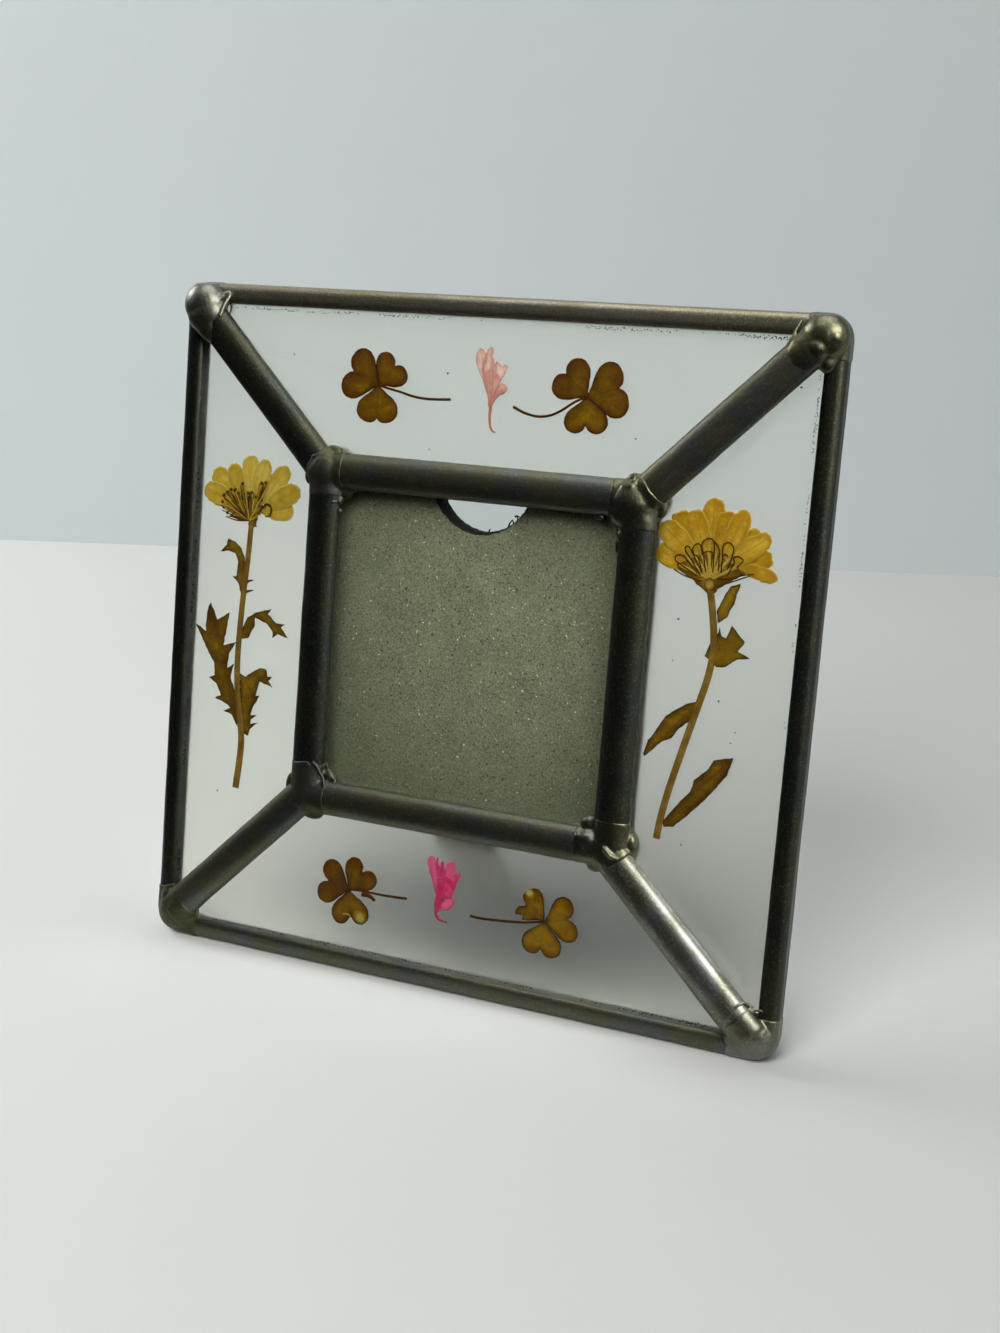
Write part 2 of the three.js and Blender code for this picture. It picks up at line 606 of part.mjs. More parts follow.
SIDES.forEach((side, k) => {
  const edge = quarterTurn(edgeCame(), k);
  leaning.add(
    meshOf(`edge_came_${side}`, edge.subtract(underFloor), lead),
    meshOf(`opening_came_${side}`, quarterTurn(openingCame(), k), lead),
    meshOf(`front_glass_${side}`, quarterTurn(pane(PANE_BACK, PANE_FACE), k), clearGlass),
    meshOf(`frosted_glass_${side}`, quarterTurn(pane(-PANE_FACE, -PANE_BACK), k), frostedGlass),
  );
});
CORNERS.forEach((corner, k) => {
  leaning.add(
    meshOf(`diagonal_came_${corner}`, quarterTurn(diagonalCame(), k), lead),
    meshOf(`edge_solder_${corner}`, quarterTurn(edgeSolder(), k).subtract(underFloor), solder),
    meshOf(`opening_solder_${corner}`, quarterTurn(openingSolder(), k), solder),
  );
});

const { half: glassHalf, back: glassBack, front: glassFront } = PICTURE_GLASS;
leaning.add(
  meshOf("picture_glass", plate(square(glassHalf), glassBack, glassFront), clearGlass),
  meshOf("backing_board", backingBoard(), greyBoard),
);
for (const [side, turn] of [["left", 0], ["right", 180]]) {
  for (const [level, height] of [["upper", TAB.height], ["lower", -TAB.height]]) {
    const tab = boardTab().rotate([0, 0, turn]).translate([0, height, 0]);
    leaning.add(meshOf(`board_tab_${level}_${side}`, tab, tinned));
  }
}

for (const [name, { at, ...shape }] of Object.entries(CLOVERS)) {
  const leaf = meshOf(name, clover(shape), cloverBrown);
  leaf.position.set(...at, 0);
  leaning.add(leaf);
}
for (const [name, { material, outline, tube }] of Object.entries(TUFTS)) {
  leaning.add(meshOf(name, union([pressed(outline), stalk(tube, 0.6, 0.5)]), material));
}
for (const [name, parts] of Object.entries(DAISIES)) leaning.add(...daisyPieces(name, parts));

leaning.position.z = FLOOR_DEPTH;
const pictureFrame = new THREE.Group();
pictureFrame.add(leaning, meshOf("strap_leg", strapLeg(), tinned));

// The origin goes to the bottom centre of the whole.
const bounds = new THREE.Box3().setFromObject(pictureFrame, true);
const middle = bounds.getCenter(new THREE.Vector3());
pictureFrame.position.set(-middle.x, -middle.y, -bounds.min.z);

export default pictureFrame;
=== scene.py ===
import json
import math
import random

import bpy
import numpy
from mathutils import Matrix, Vector, noise
from mathutils.geometry import delaunay_2d_cdt, interpolate_bezier

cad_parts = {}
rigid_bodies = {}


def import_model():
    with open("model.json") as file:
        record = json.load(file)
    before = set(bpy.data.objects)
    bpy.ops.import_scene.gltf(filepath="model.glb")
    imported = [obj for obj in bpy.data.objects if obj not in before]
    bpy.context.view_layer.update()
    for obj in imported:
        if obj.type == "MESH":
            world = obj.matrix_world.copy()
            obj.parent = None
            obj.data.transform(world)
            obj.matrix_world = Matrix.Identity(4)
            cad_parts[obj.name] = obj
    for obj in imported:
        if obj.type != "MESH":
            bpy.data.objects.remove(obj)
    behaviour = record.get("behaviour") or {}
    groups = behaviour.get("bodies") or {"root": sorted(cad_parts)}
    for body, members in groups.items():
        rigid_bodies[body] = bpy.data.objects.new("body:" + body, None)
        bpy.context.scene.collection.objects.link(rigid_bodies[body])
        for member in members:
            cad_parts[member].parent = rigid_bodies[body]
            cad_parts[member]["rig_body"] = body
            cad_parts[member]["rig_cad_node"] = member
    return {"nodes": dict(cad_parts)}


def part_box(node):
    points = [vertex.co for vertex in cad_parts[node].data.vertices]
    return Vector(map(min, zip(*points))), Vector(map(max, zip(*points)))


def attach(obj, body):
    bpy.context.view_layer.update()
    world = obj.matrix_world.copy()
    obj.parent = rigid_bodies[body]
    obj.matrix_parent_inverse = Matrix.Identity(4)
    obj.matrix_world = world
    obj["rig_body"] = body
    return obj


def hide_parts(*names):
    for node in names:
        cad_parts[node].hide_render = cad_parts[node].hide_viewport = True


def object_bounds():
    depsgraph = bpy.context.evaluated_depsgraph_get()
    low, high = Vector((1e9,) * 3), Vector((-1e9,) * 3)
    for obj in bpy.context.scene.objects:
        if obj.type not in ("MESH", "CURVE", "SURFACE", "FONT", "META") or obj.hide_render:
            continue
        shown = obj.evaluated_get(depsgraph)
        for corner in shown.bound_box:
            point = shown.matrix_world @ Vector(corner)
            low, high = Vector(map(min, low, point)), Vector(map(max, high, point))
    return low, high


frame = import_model()
nodes = frame["nodes"]
cad_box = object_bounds()


# ---- Frosted back panes ----
# Each of the four side panels is a sandwich of two thin panes cut to a trapezium. The back pane is ground on
# both faces to a soft frost, so the room behind shows only as a pale blur. It sits in the slots of the lead.
class Amount:
    """A number in a material's nodes. Arithmetic on it adds Math nodes to that material."""

    def __init__(self, finish, socket):
        self.finish = finish
        self.socket = socket

    def __add__(self, other):
        return self.finish.maths("ADD", self, other)

    def __sub__(self, other):
        return self.finish.maths("SUBTRACT", self, other)

    def __rsub__(self, other):
        return self.finish.maths("SUBTRACT", other, self)

    def __mul__(self, other):
        return self.finish.maths("MULTIPLY", self, other)

    __radd__ = __add__
    __rmul__ = __mul__


class Finish:
    """A material round one Principled shader. node() adds another node by its settings and its sockets."""

    def __init__(self, name, constants):
        self.material = bpy.data.materials.new(name)
        self.material.use_nodes = True
        self.tree = self.material.node_tree
        self.shader = self.tree.nodes["Principled BSDF"]
        for socket, value in constants.items():
            self.shader.inputs[socket].default_value = value

    def node(self, kind, settings, inputs, output=0):
        made = self.tree.nodes.new("ShaderNode" + kind)
        for setting, value in settings.items():
            if setting == "stops":
                for stop in range(2, len(value)):
                    made.color_ramp.elements.new(stop / len(value))
                for element, (place, colour) in zip(made.color_ramp.elements, value):
                    element.position = place
                    element.color = colour
            else:
                setattr(made, setting, value)
        for socket, value in inputs.items():
            self.feed(made.inputs[socket], value)
        return Amount(self, made.outputs[output])

    def feed(self, socket, value):
        if isinstance(value, Amount):
            self.tree.links.new(value.socket, socket)
        else:
            socket.default_value = value

    def varies(self, socket, value):
        self.feed(self.shader.inputs[socket], value)

    def maths(self, operation, a, b):
        return self.node("Math", {"operation": operation}, {0: a, 1: b})

    def place(self):
        return self.node("TexCoord", {}, {}, "Object")

    def attribute(self, name, output="Fac"):
        return self.node("Attribute", {"attribute_name": name}, {}, output)

    def noise(self, size, detail=3.0, at=None, stretch=(1, 1, 1), roughness=0.55):
        """Noise about 0.5 whose patches are size millimetres across."""
        scaled = self.node("Mapping", {}, {"Vector": at or self.place(), "Scale": stretch})
        sockets = {"Vector": scaled, "Scale": 1000 / size, "Detail": detail, "Roughness": roughness}
        return self.node("TexNoise", {}, sockets)

    def step(self, value, low, high):
        """0 below low, 1 above high and smooth between; falls instead of rising if low is above high."""
        return self.node("MapRange", {"interpolation_type": "SMOOTHSTEP"}, {0: value, 1: low, 2: high})

    def blend(self, factor, a, b):
        return self.node("Mix", {"data_type": "RGBA"}, {0: factor, 6: a, 7: b}, 2)

    def ramp(self, value, *stops):
        """A colour that runs through stops, each a value and its colour."""
        return self.node("ValToRGB", {"stops": stops}, {0: value})

    def distance(self, place, point):
        return self.node("VectorMath", {"operation": "DISTANCE"}, {0: place, 1: point}, "Value")

    def relief(self, height, depth):
        """Raises the surface by up to depth millimetres where height is 1."""
        sockets = {"Height": height, "Distance": depth / 1000, "Strength": 1.0}
        self.varies("Normal", self.node("Bump", {}, sockets))

    def put_on(self, piece):
        piece.data.materials.clear()
        piece.data.materials.append(self.material)


def colour(red, green, blue):
    """A colour given from 0 to 255 a channel, as it looks, turned into a shader's linear values."""
    return (*[((c / 255 + 0.055) / 1.055) ** 2.4 if c > 10 else c / 3295 for c in (red, green, blue)], 1)


SIDES = ["bottom", "right", "top", "left"]
GLASS = {"IOR": 1.5, "Transmission Weight": 1.0}
frost = Finish("frosted_glass", {"Base Color": colour(255, 254, 249), "Specular IOR Level": 0.05, **GLASS})
frost_grain = frost.noise(0.16, detail=2)
frost.varies("Roughness", 0.34 + 0.2 * frost_grain)
frost.relief(frost_grain, 0.012)
for side in SIDES:
    frost.put_on(nodes[f"frosted_glass_{side}"])


# ---- Pressed clovers ----
# Four clover leaves, each picked with its thread of a stalk and pressed dry until golden brown and thin as
# paper. They lie loose between the panes: two in the top panel and two in the bottom one.
MM = 0.001
LEAN = math.radians(10.8)  # backwards from upright
FRONT = Vector((0, -math.cos(LEAN), math.sin(LEAN)))
PICTURE_GLASS_MIDDLE = 1.1  # in front of the middle of the panels
glass_low, glass_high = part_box("picture_glass")
CENTRE = (glass_low + glass_high) / 2 - FRONT * PICTURE_GLASS_MIDDLE * MM
LEANING = Matrix.Translation(CENTRE) @ Matrix.Rotation(math.pi / 2 - LEAN, 4, "X")
NET = 0.34  # spacing of the points inside a pressed piece
EDGE_THICKNESS = 0.25  # share of a pressed piece's thickness that is left at its cut edge
THINNING = 0.45  # how far in from the edge it is thinner
RIM_REACH = 1.5
SPAN_POINTS = 7
noise.seed_set(3)  # or rough_edge's noise would start from the clock


def settle(piece, finish, slot, *stands_for):
    """Leans a piece that was modelled flat, x across and y up the frame, into the frame's plane."""
    piece.data.transform(LEANING)
    finish.put_on(piece)
    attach(piece, "root")
    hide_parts(*stands_for)


def select_only(*pieces):
    bpy.ops.object.select_all(action="DESELECT")
    for piece in pieces:
        piece.select_set(True)
    bpy.context.view_layer.objects.active = pieces[0]


def joined(name, pieces):
    """Makes one object of the pieces and gives it this name."""
    select_only(*pieces)
    if len(pieces) > 1:
        bpy.ops.object.join()
    pieces[0].name = pieces[0].data.name = name
    return pieces[0]


def smoothed(piece, angle):
    select_only(piece)
    bpy.ops.object.shade_smooth_by_angle(angle=math.radians(angle))
    return piece


def changed(piece, kind, **settings):
    """Adds a modifier of this kind, sets it and applies it."""
    change = piece.modifiers.new(kind.lower(), kind)
    for setting, value in settings.items():
        setattr(change, setting, value)
    select_only(piece)
    bpy.ops.object.modifier_apply(modifier=change.name)


def distances(points, outline):
    """How far each point lies from the nearest edge of an outline."""
    start = numpy.array(outline)
    way = numpy.roll(start, -1, axis=0) - start
    offset = numpy.array(points)[:, None] - start[None]
    share = numpy.clip((offset * way).sum(2) / (way**2).sum(1), 0, 1)
    return numpy.sqrt(((offset - share[..., None] * way) ** 2).sum(2)).min(1)


def pressed(outline, base, tip, height=0.0, thickness=0.16, tone=0.5, faded=()):
    """A pressed leaf or petal, in millimetres: a thin plate, finest at its rim, with a slight ripple.

    Its UV map runs from base to tip, with V 0.5 on that line. rim is 0 at the cut edge and 1 from RIM_REACH
    in. tone rises past 1 in the faded patches, each given as x, y and reach.
    """
    low = numpy.min(outline, axis=0)
    high = numpy.max(outline, axis=0)
    net = [
        (x + (row % 2) * NET / 2, y)
        for row, y in enumerate(numpy.arange(low[1], high[1], NET * 0.87))
        for x in numpy.arange(low[0], high[0], NET)
    ]
    net = [p for p, gap in zip(net, distances(net, outline)) if gap > NET * 0.45]
    count = len(outline)
    ring = [(i, (i + 1) % count) for i in range(count)]
    points = [Vector(p) for p in [*outline, *net]]
    found, _, faces, *_ = delaunay_2d_cdt(points, ring, [], 1, 1e-5)
    used = sorted({i for face in faces for i in face})
    place = {old: new for new, old in enumerate(used)}
    flat = [tuple(found[i]) for i in used]
    faces = [[place[i] for i in face] for face in faces]
    from_edge = distances(flat, outline)
    thinned = EDGE_THICKNESS + (1 - EDGE_THICKNESS) * numpy.clip(from_edge / THINNING, 0, 1)
    inside = numpy.clip(from_edge / RIM_REACH, 0, 1)
    tones = numpy.full(len(flat), tone)
    for x, y, reach in faded:
        gap = numpy.hypot(*(numpy.array(flat) - (x, y)).T)
        tones += numpy.clip(1.5 - gap / reach, 0, 1)

    rows = []
    for way in (1, -1):
        for (x, y), share in zip(flat, thinned):
            ripple = 0.05 * noise.noise(Vector((x * 0.55, y * 0.55, height * 9)))
            half = thickness / 2 * share
            rows.append((x * MM, y * MM, (height + ripple + way * half) * MM))
    size = len(flat)
    sides = {}
    for face in faces:
        for a, b in zip(face, face[1:] + face[:1]):
            sides[(a, b)] = sides.get((a, b), 0) + 1
    edges = [(a, b) for a, b in sides if (b, a) not in sides]
    walls = [(b, a, a + size, b + size) for a, b in edges]
    back = [[i + size for i in reversed(face)] for face in faces]
    mesh = bpy.data.meshes.new("pressed")
    mesh.from_pydata(rows, [], faces + back + walls)
    piece = bpy.data.objects.new("pressed", mesh)
    bpy.context.scene.collection.objects.link(piece)

    rim = mesh.attributes.new("rim", "FLOAT", "POINT")
    rim.data.foreach_set("value", numpy.tile(inside, 2).astype(numpy.float32))
    shade = mesh.attributes.new("tone", "FLOAT", "POINT")
    shade.data.foreach_set("value", numpy.tile(tones, 2).astype(numpy.float32))
    axis = Vector(tip) - Vector(base)
    length = axis.length
    axis.normalize()
    veins = mesh.uv_layers.new(name="veins")
    for loop in mesh.loops:
        offset = Vector(rows[loop.vertex_index][:2]) / MM - Vector(base)
        along = offset.dot(axis) / length
        across = (offset.y * axis.x - offset.x * axis.y) / length
        veins.data[loop.index].uv = (along, 0.5 + across)
    for face in mesh.polygons:
        face.use_smooth = True
    return piece


def rough_edge(outline, amount, pitch=0.45, seed=0):
    """An outline with points every pitch millimetres, each moved a little, as a real leaf's edge wanders."""
    wandering = []
    for (x, y), (next_x, next_y) in zip(outline, outline[1:] + outline[:1]):
        steps = max(1, round(math.hypot(next_x - x, next_y - y) / pitch))
        for i in range(steps):
            px = x + (next_x - x) * i / steps
            py = y + (next_y - y) * i / steps
            shift = noise.noise_vector(Vector((px * 0.9, py * 0.9, seed))) * amount
            wandering.append((px + shift.x, py + shift.y))
    return wandering


def curve_through(knots):
    """Points on a chain of Bezier spans. knots holds a start, then two handles and an end for each span."""
    points = []
    for i in range(0, len(knots) - 1, 3):
        start, handle, other, end = [Vector(p) for p in knots[i : i + 4]]
        points += [tuple(p[:2]) for p in interpolate_bezier(start, handle, other, end, SPAN_POINTS + 1)[:-1]]
    return points


def turned(outline, degrees, x=0.0, y=0.0):
    """An outline turned about the origin, then moved by x and y."""
    c = math.cos(math.radians(degrees))
    s = math.sin(math.radians(degrees))
    return [(x + px * c - py * s, y + px * s + py * c) for px, py in outline]


def line_point(points, share):
    """Where a smooth line through the points is at a share of its spans, and which way it runs."""
    last = len(points) - 1
    span = min(int(share * last), last - 1)
    t = share * last - span
    a, b, c, d = [Vector(points[min(max(span + k, 0), last)]) for k in (-1, 0, 1, 2)]
    at = 0.5 * (2 * b + (c - a) * t + (2 * a - 5 * b + 4 * c - d) * t**2 + (3 * (b - c) + d - a) * t**3)
    way = (c - a) + 2 * (2 * a - 5 * b + 4 * c - d) * t + 3 * (3 * (b - c) + d - a) * t**2
    return at, way.normalized()


def strand(points, start_width, end_width, height=0.0, depth=0.5, tone=0.5, sides=10):
    """A stalk, bract or hair along a smooth line: a thin cylinder, cut into rings that follow the line.

    Depth is its thickness as a share of its width. Its UV map runs along it, and V goes round it.
    """
    steps = 6 * (len(points) - 1)
    bpy.ops.mesh.primitive_cylinder_add(vertices=sides, radius=0.5, depth=1, location=(0, 0, 0.5))
    piece = bpy.context.active_object
    bpy.ops.object.transform_apply(location=True, rotation=False, scale=False)
    long_ways = [e.index for e in piece.data.edges if abs(
        piece.data.vertices[e.vertices[0]].co.z - piece.data.vertices[e.vertices[1]].co.z) > 0.5]
    subdivide_edges(piece, long_ways, steps - 1)
    for vertex in piece.data.vertices:
        share = vertex.co.z
        at, way = line_point(points, min(max(share, 0), 1))
        width = start_width + (end_width - start_width) * share
        across = vertex.co.x * width
        up = vertex.co.y * width * depth
        vertex.co = Vector((at.x - way.y * across, at.y + way.x * across, height + up)) * MM
    veins = piece.data.uv_layers.active
    veins.name = "veins"
    count = len(piece.data.vertices)
    for name, value in (("rim", 1.0), ("tone", tone)):
        made = piece.data.attributes.new(name, "FLOAT", "POINT")
        made.data.foreach_set("value", numpy.full(count, value, numpy.float32))
    return smoothed(piece, 60)


def subdivide_edges(piece, chosen, cuts):
    """Cuts the chosen edges, given by number, and the faces between them into equal lengths."""
    select_only(piece)
    bpy.ops.object.mode_set(mode="EDIT")
    bpy.ops.mesh.select_mode(type="EDGE")
    bpy.ops.mesh.select_all(action="DESELECT")
    bpy.ops.object.mode_set(mode="OBJECT")
    for edge in chosen:
        piece.data.edges[edge].select = True
    bpy.ops.object.mode_set(mode="EDIT")
    bpy.ops.mesh.subdivide(number_cuts=cuts)
    bpy.ops.object.mode_set(mode="OBJECT")


def dried(name, pale, body, deep, rim_colour, veins=9.0, spots=0.0, glow=0.3, tips=None, faded=None):
    """A dried leaf or petal: cloudy between three colours, darker in its veins, at its rim and in spots."""
    pale, body, deep, rim_colour = [colour(*shade) for shade in (pale, body, deep, rim_colour)]
    finish = Finish(
        name,
        {
            "Roughness": 0.7,
            "Subsurface Weight": glow,
            "Subsurface Radius": (1.0, 0.7, 0.2),
            "Subsurface Scale": 0.4 * MM,
            "Specular IOR Level": 0.02,
        },
    )
    uv = finish.node("SeparateXYZ", {}, {0: finish.node("UVMap", {"uv_map": "veins"}, {})})
    along = Amount(finish, uv.socket.node.outputs["X"])
    across = finish.maths("ABSOLUTE", Amount(finish, uv.socket.node.outputs["Y"]) - 0.5, 0.0)
    cloud = finish.noise(2.6, detail=4)
    fine = finish.noise(0.5, detail=3)
    tone = finish.attribute("tone")
    value = 0.62 * cloud + 0.25 * fine + 0.55 * (tone - 0.5) + 0.06
    surface = finish.ramp(value, (0.28, deep), (0.48, body), (0.68, pale))
    side_vein = finish.maths("FRACT", (along - 0.8 * across) * veins, 0.0)
    line = finish.step(finish.maths("ABSOLUTE", side_vein - 0.5, 0.0), 0.5, 0.38)
    midrib = finish.step(across, 0.022, 0.008)
    surface = finish.blend(0.28 * (1.0 - line), surface, deep)
    surface = finish.blend(0.35 * midrib, surface, deep)
    rim = finish.attribute("rim") + 0.5 * (cloud - 0.5)
    surface = finish.blend(0.5 * finish.step(rim, 1.0, 0.1), surface, deep)
    surface = finish.blend(finish.step(rim, 0.3, 0.04), surface, rim_colour)
    if spots:
        spot = finish.step(finish.noise(1.1, detail=1), 0.72, 0.8)
        surface = finish.blend(spots * spot, surface, deep)
    if tips:
        from_base = along + 0.7 * (cloud - 0.5)
        surface = finish.blend(0.6 * finish.step(from_base, 0.66, 0.98), surface, colour(*tips))
    if faded:
        patch = finish.step(tone + 1.4 * (cloud - 0.5), 0.95, 1.75)
        surface = finish.blend(patch, surface, colour(*faded))
    finish.varies("Base Color", surface)
    finish.relief(0.5 * fine + 0.3 * line + 0.4 * cloud, 0.05)
    return finish


CLOVERS = {
    "clover_top_left": {
        "at": (-26.4, 55.1),
        "leaflets": [(8.6, 11.4, 6.9, 158), (6.9, 8.8, 5.6, 50), (7.9, 10, 7.2, -89)],
        "stem": [(0, 0), (2.1, -0.5), (5.3, -1.1), (8.8, -1.9), (12.6, -2.15), (17.3, -1.9)],
    },
    "clover_top_right": {
        "at": (21.8, 55.8),
        "leaflets": [(7.9, 9.7, 6.7, 139), (8.6, 11.7, 7.2, 18), (7.5, 9.7, 5.9, -88)],
        "stem": [
            (0, 0), (-2.5, -1.1), (-5.6, -3.2), (-7.9, -4.3), (-10.6, -4.7), (-13.6, -4.2), (-16.3, -3.1),
        ],
    },
    "clover_bottom_left": {
        "at": (-25.4, -56.9),
        "leaflets": [(7.8, 10.4, 5.5, 168), (7.5, 8.7, 5.5, 56), (8, 9.5, 5.7, -82)],
        "faded": [(3.3, -5.9, 1.3)],
        "stub": [(3.4, -0.4), (5.2, -0.5), (6.7, -1.3)],
        "curl": [(-1.0, -5.8), (-0.1, -5.6), (0.7, -5.8), (0.9, -6.3)],
        "stem": [(0, 0), (3, 0.3), (6.1, 0.3), (9.7, 0.35), (14.5, 0.6)],
    },
    "clover_bottom_right": {
        "at": (22.2, -55.2),
        "leaflets": [(7.4, 7.6, 5.6, 138), (7.3, 10, 5.2, 16), (7.6, 9.2, 6.1, -94)],
        "tone": 0.72,
        "torn": [
            (-0.2, 0.1), (-1.6, 0), (-5.3, -0.6), (-5.2, 0.5), (-7.1, 0.4), (-6.9, 1.4), (-6.4, 2.2),
            (-5, 2.6), (-4.8, 3), (-5.5, 4.1), (-5.6, 4.8), (-5, 5.8), (-4.1, 6.4), (-3.2, 6.8),
            (-2.1, 6.7), (-1.2, 5.9), (-0.7, 4.7), (-0.4, 3), (-0.2, 1),
        ],
        "faded": [(-4.1, 5.6, 1.0)],
        "stem": [(0, 0), (-5.1, -1.1), (-9.9, -1.7), (-14.9, -2.1), (-17.5, -2)],
    },
}

# each line that lies on a clover: its widths at both ends, its height and its tone
STALKS = [("stem", 0.5, 0.6, 0.0, 0.0), ("stub", 1.1, 0.7, 0.0, 0.0), ("curl", 0.3, 0.5, 0.2, 1.6)]

clover_finish = dried(
    "clover_leaf", pale=(98, 73, 4), body=(70, 46, 1), deep=(44, 23, 1), rim_colour=(38, 15, 1), spots=0.3,
    glow=0.1, tips=(58, 24, 1), faded=(116, 110, 54),
)


def heart(length, width, notch):
    """A heart-shaped leaflet along x, with its point at the origin and its notch at the far end."""
    half = width / 2
    knots = [(-0.3, 0)]
    for way in (-1, 1):
        turns = [
            (length * 0.26, way * half * 0.36), (length * 0.34, way * half * 1.06),
            (length * 0.72, way * half), (length * 1.02, way * half * 0.95),
            (length * 1.12, way * half * 0.2), (notch, 0),
        ]
        knots += turns if way < 0 else turns[-2::-1] + [(-0.3, 0)]
    return curve_through(knots)


for seed, (name, clover) in enumerate(CLOVERS.items()):
    at_x, at_y = clover["at"]
    parts = []
    for i, (length, width, notch, angle) in enumerate(clover["leaflets"]):
        leaf = turned(heart(length, width, notch), angle, at_x, at_y)
        if i == 0 and "torn" in clover:
            leaf = [(at_x + x, at_y + y) for x, y in clover["torn"]]
        outline = rough_edge(leaf, 0.1, 0.4, seed)
        tip = turned([(length, 0)], angle, at_x, at_y)[0]
        tone = clover.get("tone", 0.45) + 0.08 * (i - 1)
        faded = [(at_x + x, at_y + y, reach) for x, y, reach in clover.get("faded", [])]
        parts.append(pressed(outline, (at_x, at_y), tip, 0.12 * (i - 1), tone=tone, faded=faded))
    for line, start, end, height, tone in STALKS:
        points = [(at_x + x, at_y + y) for x, y in clover.get(line, [])]
        if points:
            parts.append(strand(points, start, end, height, 0.7, tone))
    for _, _, _, angle in clover["leaflets"]:
        parts.append(strand([*turned([(-0.2, 0), (0.7, 0)], angle, at_x, at_y)], 0.6, 0.3, 0.15, 0.7, 0.0))
    settle(joined(name + "_leaf", parts), clover_finish, "clover_leaf", name)


